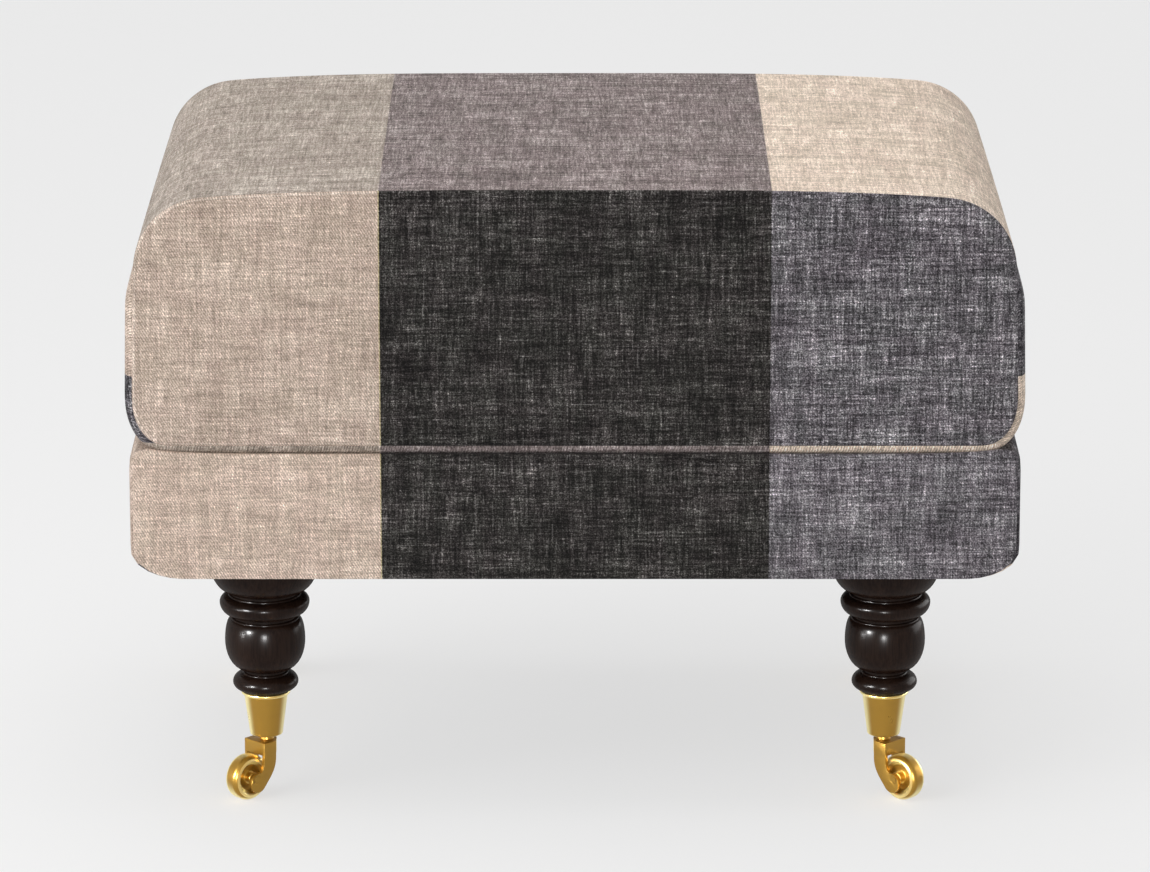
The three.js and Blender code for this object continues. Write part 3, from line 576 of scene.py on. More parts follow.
def band_cloth(tree, settings):
    """The cushion's band: three columns on top, and the side colours down the sides."""
    cushion = bpy.context.scene.footstool_cushion
    radius = cushion.shoulder
    position = tree.position()
    x, y, z = tree.split(position)
    wrap = place(
        tree, "band wrap", wrap_group, Position=position,
        Shoulder_X=cushion.half_width - cushion.lean - radius,
        Shoulder_Z=cushion.top - cushion.crown - radius, Radius=radius,
    )
    above_heel = tree.past(z, settings.heel_change)
    across_cloth = tree.math("MULTIPLY_ADD", tree.math("SUBTRACT", wrap["Across"], x), above_heel, x)
    check = columns(tree, settings, across_cloth, settings.taupe, settings.mauve, settings.cream)
    run = tree.math("ABSOLUTE", across_cloth)
    side = side_colours(tree, settings, x, tree.past(run, settings.side_reach))
    on_side = tree.math("MULTIPLY", tree.past(run, settings.top_reach), above_heel)
    column = tree.mix(on_side, check, side)
    # Painted light: under the heel the band's colour is lightened by 9 %, to lift the underside where it lies
    # in shade.
    return tree.vector(across_cloth, y), tree.mix(above_heel, tree.scale(column, 1.09), column)


def side_cloth(tree, settings):
    """The base's side bands, and the three columns on its top and underside."""
    base = bpy.context.scene.footstool_base
    x, y, z = tree.split(tree.position())
    below = tree.math("SUBTRACT", 1.0, tree.past(z, settings.base_change))
    check = columns(tree, settings, x, settings.beige, settings.charcoal, settings.slate)
    far_out = tree.math("GREATER_THAN", tree.math("ABSOLUTE", x), base.half_width - base.heel_width)
    on_side = tree.math("MULTIPLY", far_out, tree.math("LESS_THAN", z, base.top - 4 * MM))
    flat_y = tree.math("MULTIPLY", y, tree.math("SUBTRACT", 1.0, on_side))
    along = tree.math("MULTIPLY_ADD", on_side, tree.math("SUBTRACT", y, x), x)
    shown = tree.mix(on_side, check, side_colours(tree, settings, x, below))
    return tree.vector(along, tree.math("ADD", z, flat_y)), shown


def linen(name, lay, pale_contrast=0.53, **how):
    """Check linen. lay gives the place on the cloth and its colour, and pale_contrast is how strongly the
    threads show in pale cloth."""
    settings = bpy.context.scene.footstool_linen
    made, tree, surface = new_material(name)
    cloth, shown = lay(tree, settings, **how)
    brightness = tree.add("ShaderNodeRGBToBW", {0: shown}).outputs[0]
    pale = tree.ramp(brightness, 0.1, 0.3)
    dark_contrast = 1.85
    softer = tree.math("MULTIPLY_ADD", brightness, -0.8 * pale_contrast, 1.35 * pale_contrast - dark_contrast)
    yarns, height = woven(
        tree, cloth, settings.thread, shown,
        Contrast=tree.math("MULTIPLY_ADD", pale, softer, dark_contrast),
        Slub_Light=tree.math("MULTIPLY_ADD", pale, -0.2, 0.35),
        Warm=tree.vector_math("MULTIPLY", shown, (1.045, 0.965, 1.0)),
        Cool=tree.vector_math("MULTIPLY", shown, (0.965, 1.01, 0.955)),
        Tint_Amount=tree.math("MULTIPLY_ADD", pale, -0.48, 0.7),
        Twill_Amount=tree.math("MULTIPLY_ADD", pale, 0.26, 0.1),
    )
    dress(
        tree, surface, yarns, height, 0.35, 0.4 * MM,
        Roughness=0.92, Specular_IOR_Level=0.05, Sheen_Weight=0.03, Sheen_Roughness=0.5,
    )
    return made


def grain_group(name):
    """Straight grain that runs up the piece, in dark and light streaks with fine pores."""
    inputs = {"Position": "Vector", "Dark": "Color", "Light": "Color", "Fineness": "Float"}
    tree, given, taken = group(name, inputs, {"Colour": "Color", "Height": "Float"})
    scaled = tree.scale(given["Position"], given["Fineness"])
    streaks = tree.noise(scaled, (900.0, 900.0, 22.0), detail=3.0, roughness=0.6, seed=3.1)
    broad = tree.noise(scaled, (90.0, 90.0, 5.0), detail=2.0, seed=8.7)
    pores = tree.noise(scaled, (1500.0, 1500.0, 60.0), detail=1.0, seed=14.3)
    level = tree.math("MULTIPLY_ADD", streaks, 0.6, tree.math("MULTIPLY", broad, 0.4))
    result = tree.mix(tree.ramp(level, 0.32, 0.68), given["Dark"], given["Light"])
    height = tree.math("ADD", streaks, tree.math("MULTIPLY", pores, 0.5))
    return finish_group(tree, {"Colour": result, "Height": height}, taken)


def metal_group(name):
    """Polished metal: fine rubbing marks and slightly duller patches."""
    inputs = {"Position": "Vector", "Colour": "Color", "Roughness": "Float"}
    tree, given, taken = group(name, inputs, {"Colour": "Color", "Roughness": "Float", "Height": "Float"})
    marks = tree.noise(given["Position"], (2600.0, 2600.0, 300.0), detail=2.0, seed=2.3)
    patches = tree.noise(given["Position"], (120.0, 120.0, 120.0), detail=3.0, roughness=0.6, seed=6.1)
    dull = tree.math("MULTIPLY_ADD", patches, 0.08, -0.04)
    rough = tree.math("ADD", tree.math("MULTIPLY_ADD", marks, 0.03, given["Roughness"]), dull, clamp=True)
    result = tree.mix(tree.ramp(patches, 0.35, 0.75), given["Colour"], tree.scale(given["Colour"], 0.95))
    return finish_group(tree, {"Colour": result, "Roughness": rough, "Height": marks}, taken)


def stained_wood(name):
    settings = bpy.context.scene.footstool_leg
    made, tree, surface = new_material(name)
    grain = place(
        tree, "wood grain", grain_group, Position=tree.position(), Dark=settings.dark, Light=settings.light,
        Fineness=1.0,
    )
    gloss = tree.math("MULTIPLY", tree.ramp(tree.facing(), 0.9, 0.3), 0.09)
    dress(
        tree, surface, grain["Colour"], grain["Height"], 0.12, 0.2 * MM,
        Roughness=settings.roughness, Specular_IOR_Level=gloss,
    )
    return made


def plain_wood(name):
    made, tree, surface = new_material(name)
    x, y, z = tree.split(tree.position())
    grain = place(
        tree, "wood grain", grain_group, Position=tree.vector(z, y, x), Dark=linear(176, 138, 92),
        Light=linear(214, 180, 134), Fineness=0.4,
    )
    dress(tree, surface, grain["Colour"], grain["Height"], 0.25, 0.3 * MM, Roughness=0.72)
    return made


def metal(name, metal_colour, painted_reflection_colour, roughness, turn=(0.3, 0.7)):
    """Polished metal with a painted reflection: its colour pales where it turns away from the eye. turn is
    where that starts and ends.
    """
    made, tree, surface = new_material(name)
    polish = place(
        tree, "metal polish", metal_group, Position=tree.position(), Colour=metal_colour, Roughness=roughness
    )
    # Painted reflection: the colour pales where the surface turns away from the eye, in place of the bright
    # surroundings it would mirror.
    edge = tree.math("MULTIPLY", tree.ramp(tree.facing(), *turn), 0.95)
    shown = tree.mix(edge, polish["Colour"], painted_reflection_colour)
    rough = polish["Roughness"]
    dress(tree, surface, shown, polish["Height"], 0.02, 0.1 * MM, Roughness=rough, Metallic=0.62)
    return made


def plain_cloth(name, base, thread, contrast):
    """Woven stuff in one colour, for the dust cloth and the webbing."""
    made, tree, surface = new_material(name)
    x, y, z = tree.split(tree.position())
    cloth = tree.vector(x, tree.math("ADD", y, z))
    yarns, height = woven(
        tree, cloth, thread, base, Contrast=contrast, Slub_Light=0.1, Tint_Amount=0.5,
        Warm=tinted(base, 1.05, 1.0, 0.95), Cool=tinted(base, 0.96, 1.0, 1.04),
    )
    dress(tree, surface, yarns, height, 0.4, 0.4 * MM, Roughness=0.95, Specular_IOR_Level=0.15)
    return made


def finish_named(name):
    """The finish of that name, made the first time that it is asked for."""
    made = bpy.data.materials.get(name)
    if made:
        return made
    brass = bpy.context.scene.footstool_castor
    makers = {
        "linen front": lambda: linen(name, panel_cloth),
        "linen band": lambda: linen(name, band_cloth, pale_contrast=0.66),
        "linen side": lambda: linen(name, side_cloth),
        # Painted light: the base's panels are the front cloth with its outer columns lightened by 13 %.
        "linen base": lambda: linen(name, panel_cloth, gain=1.13),
        # Painted highlight along the ridge beside the cushion's seams.
        "linen ridge_highlight": lambda: linen(name, panel_cloth, pressed=0.55),
        "stained wood": lambda: stained_wood(name),
        "bare beech": lambda: plain_wood(name),
        # Each metal is painted paler where it turns away from the eye, a painted reflection. The fork's brass
        # takes it only at its very edges.
        "polished brass with painted reflection": lambda: metal(name, brass.metal, brass.glow, brass.roughness, (0.34, 0.7)),
        "brass with narrow painted reflection": lambda: metal(name, brass.metal, brass.glow, brass.roughness, (0.8, 0.96)),
        # Painted highlight: the paler brass of the cup's rim and the wheel's crest.
        "brass with painted highlight": lambda: metal(name, brass.bead, brass.glow, brass.roughness, (0.05, 0.55)),
        "zinc steel": lambda: metal(name, linear(168, 170, 173), linear(214, 216, 218), 0.38),
        "black dust cloth": lambda: plain_cloth(name, linear(38, 38, 40), 0.6 * MM, 0.6),
        "woven webbing": lambda: plain_cloth(name, linear(74, 84, 66), 1.2 * MM, 0.8),
    }
    return makers[name]()


# Outlines of the covers


def spaced(points, count):
    """count points at even steps along an open line, its ends among them."""
    line = np.asarray(points, float)
    steps = np.linalg.norm(np.diff(line, axis=0), axis=1)
    run = np.concatenate([[0.0], np.cumsum(steps)])
    wanted = np.linspace(0.0, run[-1], count)
    return np.stack([np.interp(wanted, run, line[:, k]) for k in range(line.shape[1])], axis=1)


def cubic(a, b, c, d, count):
    t = np.linspace(0, 1, count)[:, None]
    a, b, c, d = (np.asarray(p, float) for p in (a, b, c, d))
    return (1 - t) ** 3 * a + 3 * (1 - t) ** 2 * t * b + 3 * (1 - t) * t**2 * c + t**3 * d


def arc(centre, width, height, start, end):
    angle = np.linspace(start, end, ARC_STEPS)
    return np.stack([centre[0] + width * np.cos(angle), centre[1] + height * np.sin(angle)], axis=1)


def cover_outline(form, crown, wide_steps, high_steps):
    """Outline of a panel in X and Z, clockwise from its top left corner as seen from the front."""
    flatness = form.flatness
    radius = form.shoulder
    middle_x = form.half_width - form.lean - radius
    fall = math.atan(flatness * crown / middle_x)
    shoulder = (middle_x, form.top - crown - radius * math.cos(fall))
    heel = (form.half_width - form.heel_width, form.bottom + form.heel_height)
    crown_end = middle_x + radius * math.sin(fall)
    run = np.linspace(0.0, crown_end, TOP_STEPS)
    top = np.stack([run, form.top - crown * (run / crown_end) ** flatness], axis=1)
    upper = arc(shoulder, radius, radius, math.pi / 2 - fall, math.pi / 4)
    lower = arc(shoulder, radius, radius, math.pi / 4, 0.0)
    high_heel = arc(heel, form.heel_width, form.heel_height, 0.0, -math.pi / 4)
    low_heel = arc(heel, form.heel_width, form.heel_height, -math.pi / 4, -math.pi / 2)
    half_top = np.concatenate([top, upper[1:]])
    side = np.concatenate([lower, high_heel])
    half_bottom = np.concatenate([low_heel, [(0.0, form.bottom)]])
    mirror = np.array([-1.0, 1.0])
    whole_top = np.concatenate([half_top[::-1] * mirror, half_top[1:]])
    whole_bottom = np.concatenate([half_bottom, half_bottom[-2::-1] * mirror])
    sides = [
        spaced(whole_top, wide_steps + 1),
        spaced(side, high_steps + 1),
        spaced(whole_bottom, wide_steps + 1),
        spaced(side[::-1] * mirror, high_steps + 1),
    ]
    return np.concatenate([s[:-1] for s in sides])


def outward_normals(outline):
    along = np.roll(outline, -1, axis=0) - np.roll(outline, 1, axis=0)
    along /= np.linalg.norm(along, axis=1)[:, None]
    return np.stack([-along[:, 1], along[:, 0]], axis=1)


def sides_of(ring, wide_steps, high_steps):
    """The top, right, bottom and left of a ring with their corners, rightwards or downwards."""
    closed = np.concatenate([ring, ring[:1]])
    corner = wide_steps + high_steps
    top, right = closed[: wide_steps + 1], closed[wide_steps : corner + 1]
    bottom, left = closed[corner : corner + wide_steps + 1], closed[corner + wide_steps :]
    return top, right, bottom[::-1], left[::-1]


def patch(ring, wide_steps, high_steps):
    """Fills a ring of outline points with a grid. Gives its rows from the top to the bottom."""
    top, right, bottom, left = sides_of(ring, wide_steps, high_steps)
    u = np.linspace(0, 1, wide_steps + 1)[None, :, None]
    v = np.linspace(0, 1, high_steps + 1)[:, None, None]
    by_height = (1 - v) * top[None] + v * bottom[None]
    by_width = (1 - u) * left[:, None] + u * right[:, None]
    top_corners = (1 - v) * ((1 - u) * top[0] + u * top[-1])
    bottom_corners = v * ((1 - u) * bottom[0] + u * bottom[-1])
    return by_height + by_width - top_corners - bottom_corners


# Mesh building


def smooth(obj):
    obj.data.polygons.foreach_set("use_smooth", [True] * len(obj.data.polygons))
    obj.data.update()
    return obj


def object_of(name, points, faces, materials=(), face_materials=None):
    mesh = bpy.data.meshes.new(name)
    mesh.from_pydata([tuple(map(float, p)) for p in points], [], [tuple(map(int, f)) for f in faces])
    for finish in materials:
        mesh.materials.append(finish)
    if face_materials is not None:
        mesh.polygons.foreach_set("material_index", np.asarray(face_materials, dtype=np.int32))
    mesh.validate()
    obj = bpy.data.objects.new(name, mesh)
    bpy.context.scene.collection.objects.link(obj)
    return obj


def outward(obj):
    """Turns all faces of a closed mesh outwards."""
    work = bmesh.new()
    work.from_mesh(obj.data)
    bmesh.ops.recalc_face_normals(work, faces=work.faces)
    work.to_mesh(obj.data)
    work.free()
    return obj


def apply_modifiers(obj):
    """Makes the mesh as its modifiers show it, and takes them off."""
    seen = obj.evaluated_get(bpy.context.evaluated_depsgraph_get())
    mesh = bpy.data.meshes.new_from_object(seen)
    old = obj.data
    obj.modifiers.clear()
    obj.data = mesh
    bpy.data.meshes.remove(old)
    return obj


def faces_between(ring, next_ring):
    return list(zip(ring, np.roll(ring, -1), np.roll(next_ring, -1), next_ring))


def closed_cover(name, outline, ring_places, ring_out, panel_insets, panel_y, steps, finishes):
    """A closed cover: rings of a band from the front seam to the back one, and two filled panels. ring_out
    gives how far each outline point of a ring stands out, and panel_y how deep a panel point lies."""
    wide_steps, high_steps = steps
    normals = outward_normals(outline)
    count = len(outline)
    points, faces, kinds = [], [], []
    for y, out in zip(ring_places, ring_out):
        place_xz = outline + normals * out[:, None]
        points.append(np.stack([place_xz[:, 0], np.full(count, y), place_xz[:, 1]], axis=1))
    rings = np.arange(len(ring_places) * count).reshape(-1, count)
    for ring, next_ring in zip(rings, rings[1:]):
        faces += faces_between(ring, next_ring)
        kinds += [1] * count
    total = rings.size
    for side, previous in ((-1, rings[0]), (1, rings[-1])):
        for step, inset in enumerate(panel_insets):
            inner = outline - normals * inset
            points.append(np.stack([inner[:, 0], panel_y(inner, side), inner[:, 1]], axis=1))
            here = np.arange(count) + total
            total += count
            faces += faces_between(previous, here)
            # The second ring of each panel takes the third finish. On the cushion, that is the painted
            # highlight along the ridge.
            kinds += [2 if step == 1 else 0] * count
            previous = here
        grid = patch(outline - normals * panel_insets[-1], *steps)
        number_of = np.full(grid.shape[:2], -1)
        number_of[0], number_of[:, -1], number_of[-1], number_of[:, 0] = sides_of(previous, *steps)
        inner = grid[1:-1, 1:-1].reshape(-1, 2)
        number_of[1:-1, 1:-1] = (np.arange(len(inner)) + total).reshape(grid.shape[0] - 2, -1)
        total += len(inner)
        points.append(np.stack([inner[:, 0], panel_y(inner, side), inner[:, 1]], axis=1))
        for r in range(high_steps):
            for c in range(wide_steps):
                faces.append((number_of[r, c], *number_of[r : r + 2, c + 1], number_of[r + 1, c]))
                kinds.append(0)
    obj = object_of(name, np.concatenate(points), faces, finishes, kinds)
    return smooth(outward(obj))


def quarter_rise(share_of_reach):
    """Rises from 0 to 1 like a quarter of a circle."""
    return np.sqrt(np.clip(1 - (1 - np.clip(share_of_reach, 0, 1)) ** 2, 0, 1))


def smoothstep(value, low, high):
    t = np.clip((value - low) / (high - low), 0.0, 1.0)
    return t * t * (3 - 2 * t)


# Cushion


def band_rings(form, steps):
    """Places of a band's rings, how far each lies from its nearer seam, and its share of the bulge that is
    fullest half way back. The rings lie closer beside the seams."""
    near = np.array(RING_SHARES[:-1])
    even = np.linspace(RING_SHARES[-1], 1 - RING_SHARES[-1], steps)
    shares = np.concatenate([near, even, 1 - near[::-1]])
    from_seam = np.minimum(shares, 1 - shares) * form.seam_depth
    bulge = np.sin(np.clip(from_seam / (form.seam_depth / 2), 0, 1) * math.pi / 2) ** 0.8
    return (shares - 0.5) * form.seam_depth, from_seam, bulge


def domed_panel(form, wide_power, high_power):
    """Gives a function for the depth of panel points. Higher powers make a flatter middle."""
    middle = (form.top + form.bottom) / 2
    half_height = (form.top - form.bottom) / 2

    def panel_y(points, side):
        wide = np.clip(np.abs(points[:, 0]) / form.half_width, 0, 1)
        high = np.clip(np.abs(points[:, 1] - middle) / half_height, 0, 1)
        rise = (1 - wide**wide_power) * (1 - high**high_power)
        return side * (form.seam_depth / 2 + PANEL_LIP + form.dome * np.clip(rise, 0, 1))

    return panel_y


def seam_points(form, outline):
    """Points along the front and back seams."""
    ends = []
    for y in (-form.seam_depth / 2, form.seam_depth / 2):
        for a, b in zip(outline, np.roll(outline, -1, axis=0)):
            for t in (0.0, 0.5):
                ends.append(((1 - t) * a[0] + t * b[0], y, (1 - t) * a[1] + t * b[1]))
    return ends


def tree_of(points):
    tree = kdtree.KDTree(len(points))
    for index, point in enumerate(points):
        tree.insert(point, index)
    tree.balance()
    return tree


def inflated(cover, form, seams):
    """How far each point of the cover moves when the filling presses on it and the seams hold."""
    mesh = bpy.data.meshes.new_from_object(cover)
    balloon = bpy.data.objects.new("balloon", mesh)
    bpy.context.scene.collection.objects.link(balloon)
    remesh = balloon.modifiers.new("remesh", "REMESH")
    remesh.mode = "VOXEL"
    remesh.voxel_size = BALLOON_MESH
    apply_modifiers(balloon)
    held = balloon.vertex_groups.new(name="seams")
    before = np.array([v.co for v in balloon.data.vertices])
    for index, point in enumerate(before):
        if seams.find(point)[2] < SEAM_HOLD:
            held.add([index], 1.0, "REPLACE")
    cloth = balloon.modifiers.new("cloth", "CLOTH")
    cloth.settings.quality = 6
    cloth.settings.mass = 0.3
    cloth.settings.tension_stiffness = 25
    cloth.settings.compression_stiffness = 25
    cloth.settings.shear_stiffness = 12
    cloth.settings.bending_stiffness = 2
    cloth.settings.air_damping = 5
    cloth.settings.use_pressure = True
    cloth.settings.uniform_pressure_force = form.pressure
    cloth.settings.vertex_group_mass = "seams"
    cloth.settings.effector_weights.gravity = 0.0
    cloth.point_cache.frame_start = 1
    cloth.point_cache.frame_end = BALLOON_TIME
    scene = bpy.context.scene
    for step in range(1, BALLOON_TIME + 1):
        scene.frame_set(step)
    seen = balloon.evaluated_get(bpy.context.evaluated_depsgraph_get())
    after = np.array([v.co for v in seen.data.vertices])
    bpy.data.objects.remove(balloon)
    scene.frame_set(1)
    moved = after - before
    places = tree_of(before)
    result = []
    for vertex in cover.data.vertices:
        near = places.find_n(vertex.co, NEIGHBOURS)
        weights = np.array([1.0 / (distance + 1e-4) for _, _, distance in near])
        result.append((moved[[index for _, index, _ in near]] * weights[:, None]).sum(axis=0) / weights.sum())
    return np.array(result)


def swell(cover, form, outline, panel_from):
    """Swells the cover by its own inflated form, no further than the panels' and the band's own limits."""
    seams = tree_of(seam_points(form, outline))
    moved = inflated(cover, form, seams)
    points = np.array([v.co for v in cover.data.vertices])
    from_seam = np.array([seams.find(p)[2] for p in points])
    moved *= smoothstep(from_seam, 0.0, form.swell_reach)[:, None]
    is_panel = np.arange(len(points)) >= panel_from
    for where, limit in ((is_panel, form.panel_swell), (~is_panel, form.band_swell)):
        moved[where] *= min(1.0, limit / np.linalg.norm(moved[where], axis=1).max())
    rests = points[:, 2] < form.bottom
    moved[rests, 2] = np.maximum(moved[rests, 2], 0.0)
    cover.data.vertices.foreach_set("co", (points + moved).ravel())
    cover.data.update()


def build_cushion():
    form = bpy.context.scene.footstool_cushion
    steps = (COVER_WIDE, CUSHION_HIGH)
    outline = cover_outline(form, form.crown, *steps)
    normals = outward_normals(outline)
    down = np.maximum(-normals[:, 1], 0.0)
    sag = 1 - smoothstep(outline[:, 1], form.sag_end, form.sag_start)
    edge = sag * ((1 - down) * form.side_swell + down * form.under_swell)
    fill = (1 - sag) * form.top_fill + sag * (1 - down) * form.side_fill
    ring_places, from_seam, bulge = band_rings(form, CUSHION_RINGS)
    reach = form.side_round + (form.seam_round - form.side_round) * down
    ring_out = [edge * quarter_rise(at / reach) + fill * full for at, full in zip(from_seam, bulge)]
    panel_y = domed_panel(form, 3.2, 2.4)
    insets = [0.7 * MM, 1.5 * MM, 3.2 * MM, 5.8 * MM, 9.5 * MM, 14.5 * MM]
    finishes = [finish_named(f"linen {part}") for part in ("front", "band", "ridge_highlight")]
    obj = closed_cover("cushion", outline, ring_places, ring_out, insets, panel_y, steps, finishes)
    swell(obj, form, outline, len(ring_places) * len(outline))
    refine = obj.modifiers.new("refine", "SUBSURF")
    refine.levels = refine.render_levels = 1
    return smooth(apply_modifiers(obj))


# Base


def build_base():
    form = bpy.context.scene.footstool_base
    steps = (COVER_WIDE, BASE_HIGH)
    outline = cover_outline(form, -form.corner_rise, *steps)
    normals = outward_normals(outline)
    level = np.abs(normals[:, 1])
    under = np.maximum(-normals[:, 1], 0.0)
    edge = (1 - level) * form.side_swell + 2 * under * np.abs(normals[:, 0]) * form.corner_swell
    risen = np.maximum(outline[:, 1] - form.top, 0.0)
    pressed = smoothstep(normals[:, 1], 0.6, 0.98) * (form.dip + risen)
    fill = (1 - level) * form.side_fill
    ring_places, from_seam, bulge = band_rings(form, BASE_RINGS)
    ring_out = []
    for at, full in zip(from_seam, bulge):
        out = edge * quarter_rise(at / (10 * MM)) + fill * full
        ring_out.append(out - pressed * smoothstep(at, 1 * MM, 9 * MM))
    panel_y = domed_panel(form, 4, 2)
    insets = [0.6 * MM, 1.3 * MM, 2.6 * MM, 5.0 * MM, 8.5 * MM]
    # The base's panels take the lightened copy of the front cloth, a painted light.
    finishes = [finish_named(f"linen {part}") for part in ("base", "side", "base")]
    return closed_cover("base_cover", outline, ring_places, ring_out, insets, panel_y, steps, finishes)


def open_underside(obj, form):
    """Opens the cover under the rails, inside its hems, and gives the cloth its thickness."""
    half_width = form.half_width - form.side_hem
    half_depth = form.seam_depth / 2 - form.hem
    lowest = form.bottom + 2 * MM
    work = bmesh.new()
    work.from_mesh(obj.data)
    for axis, place in ((0, half_width), (1, half_depth)):
        for side in (-1, 1):
            normal = [0.0, 0.0, 0.0]
            normal[axis] = float(side)
            point = [0.0, 0.0, 0.0]
            point[axis] = side * place
            low = [f for f in work.faces if f.calc_center_median().z < lowest]
            near = {e for f in low for e in f.edges} | {v for f in low for v in f.verts}
            bmesh.ops.bisect_plane(work, geom=[*low, *near], dist=1e-6, plane_co=point, plane_no=normal)
    inside = []
    for face in work.faces:
        centre = face.calc_center_median()
        if centre.z < lowest and abs(centre.x) < half_width and abs(centre.y) < half_depth:
            inside.append(face)
    bmesh.ops.delete(work, geom=inside, context="FACES")
    work.to_mesh(obj.data)
    work.free()
    wall = obj.modifiers.new("cloth", "SOLIDIFY")
    wall.thickness = form.thickness
    wall.offset = -1.0
    return smooth(apply_modifiers(obj))


# Straps and the dust cloth


def middle_of(node):
    """The middle of a node's box in plan."""
    low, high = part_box(node)
    return ((low[0] + high[0]) / 2, (low[1] + high[1]) / 2)


def strap(name, rows, thickness):
    """A web from the rows of points across it."""
    wide = WEB_STEPS + 1
    faces = []
    for start in range(0, (len(rows) - 1) * wide, wide):
        for i in range(start, start + WEB_STEPS):
            faces.append((i, i + wide, i + wide + 1, i + 1))
    points = [point for row in rows for point in row]
    return thickened(object_of(name, points, faces, [finish_named("woven webbing")]), thickness)


def long_strap(name, node):
    """A web that lies flat from rail to rail."""
    low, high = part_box(node)
    places = np.linspace(low[1], high[1], WEB_STEPS + 1)
    rows = [[(x, y, low[2]) for y in places] for x in np.linspace(low[0], high[0], LONG_ROWS)]
    return strap(name, rows, high[2] - low[2])


def cross_strap(name, node, order):
    """A web that passes over one long web and under the next."""
    low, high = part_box(node)
    long_low, long_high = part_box("long_web_1")
    lift = long_low[2] - low[2]
    crossings = [middle_of(f"long_web_{k}")[1] for k in (1, 2)]
    half = (long_high[1] - long_low[1]) / 2
    places = np.linspace(high[0], low[0], WEB_STEPS + 1)
    rows = []
    for y in np.linspace(low[1], high[1], CROSS_ROWS):
        height = long_low[2]
        for k, crossing in enumerate(crossings):
            side = 1 if (k + order) % 2 else -1
            height += side * lift * (1 - smoothstep(abs(y - crossing), half, half + 24 * MM))
        rows.append([(x, y, height) for x in places])
    return strap(name, rows, long_high[2] - long_low[2])


def thickened(obj, thickness):
    """Gives a flat strap its thickness upwards, with softened edges."""
    wall = obj.modifiers.new("thickness", "SOLIDIFY")
    wall.thickness = thickness
    wall.offset = 1.0
    edges = obj.modifiers.new("edges", "BEVEL")
    edges.width = thickness * 0.3
    edges.segments = 2
    edges.limit_method = "ANGLE"
    return smooth(apply_modifiers(obj))


def build_dust_cloth():
    """A thin black cloth inside the hems, pinched by the legs and sagging a little between them."""
    low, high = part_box("dust_cloth")
    holes = [middle_of(f"leg_bolt_{corner}") for corner in CORNERS]

    def from_holes(x, y):
        return min(math.hypot(x - hole[0], y - hole[1]) for hole in holes)

    wide = np.linspace(low[0], high[0], round((high[0] - low[0]) / DUST_STEP) + 1)
    deep = np.linspace(low[1], high[1], round((high[1] - low[1]) / DUST_STEP) + 1)
    points = [(x, deep[0]) for x in wide] + [(wide[-1], y) for y in deep[1:]]
    points += [(x, deep[-1]) for x in wide[-2::-1]] + [(wide[0], y) for y in deep[-2:0:-1]]
    edges = [(i, (i + 1) % len(points)) for i in range(len(points))]
    for hole in holes:
        start = len(points)
        for i in range(HOLE_STEPS):
            angle = 2 * math.pi * i / HOLE_STEPS
            points.append((hole[0] + BOLT_HOLE * math.cos(angle), hole[1] + BOLT_HOLE * math.sin(angle)))
            edges.append((start + i, start + (i + 1) % HOLE_STEPS))
    points += [(x, y) for x in wide[1:-1] for y in deep[1:-1] if from_holes(x, y) > BOLT_HOLE * 1.6]
    flat, _, faces, *_ = delaunay_2d_cdt([Vector(p) for p in points], edges, [], 1, 1e-6)
    kept = []
    for face in faces:
        middle = sum((flat[i] for i in face), Vector((0.0, 0.0))) / len(face)
        if from_holes(*middle) > BOLT_HOLE:
            kept.append(face)
    placed = []
    for p in flat:
        edge = min(high[0] - abs(p.x), high[1] - abs(p.y))
        slack = smoothstep(edge, 0.0, 0.13) * smoothstep(from_holes(p.x, p.y), 0.045, 0.14)
        wave = 0.75 + 0.5 * noise.noise(Vector((p.x * 9, p.y * 9, 3.0)))
        placed.append((p.x, p.y, low[2] - DUST_SAG * slack * wave))
    cloth = object_of("dust_cloth_sheet", placed, kept, [finish_named("black dust cloth")])
    wall = cloth.modifiers.new("thickness", "SOLIDIFY")
    wall.thickness = high[2] - low[2]
    wall.offset = 1.0
    return smooth(apply_modifiers(outward(cloth)))


# Turned pieces


def turned(name, profile, finish, steps):
    """Revolves a profile of radius and height about the Z axis. Points on the axis close its ends, unless it
    comes back to its first point."""
    closed = profile[0] == profile[-1]
    if closed:
        profile = profile[:-1]
    points, rings = [], []
    for radius, height in profile:
        if radius < 1e-6:
            rings.append([len(points)])
            points.append((0.0, 0.0, height))
            continue
        ring = []
        for i in range(steps):
            angle = 2 * math.pi * i / steps
            ring.append(len(points))
            points.append((radius * math.cos(angle), radius * math.sin(angle), height))
        rings.append(ring)
    if closed:
        rings.append(rings[0])
    faces = []
    for ring, next_ring in zip(rings, rings[1:]):
        if len(ring) == 1:
            faces += [(ring[0], j, i) for i, j in zip(next_ring, np.roll(next_ring, -1))]
        elif len(next_ring) == 1:
            faces += [(i, j, next_ring[0]) for i, j in zip(ring, np.roll(ring, -1))]
        else:
            faces += faces_between(ring, next_ring)
    return crisp(outward(object_of(name, points, faces, [finish])))


def crisp(obj, angle=34):
    """Shades the piece smooth, but keeps its real edges sharp."""
    smooth(obj)
    obj.data.set_sharp_from_angle(angle=math.radians(angle))
    return obj


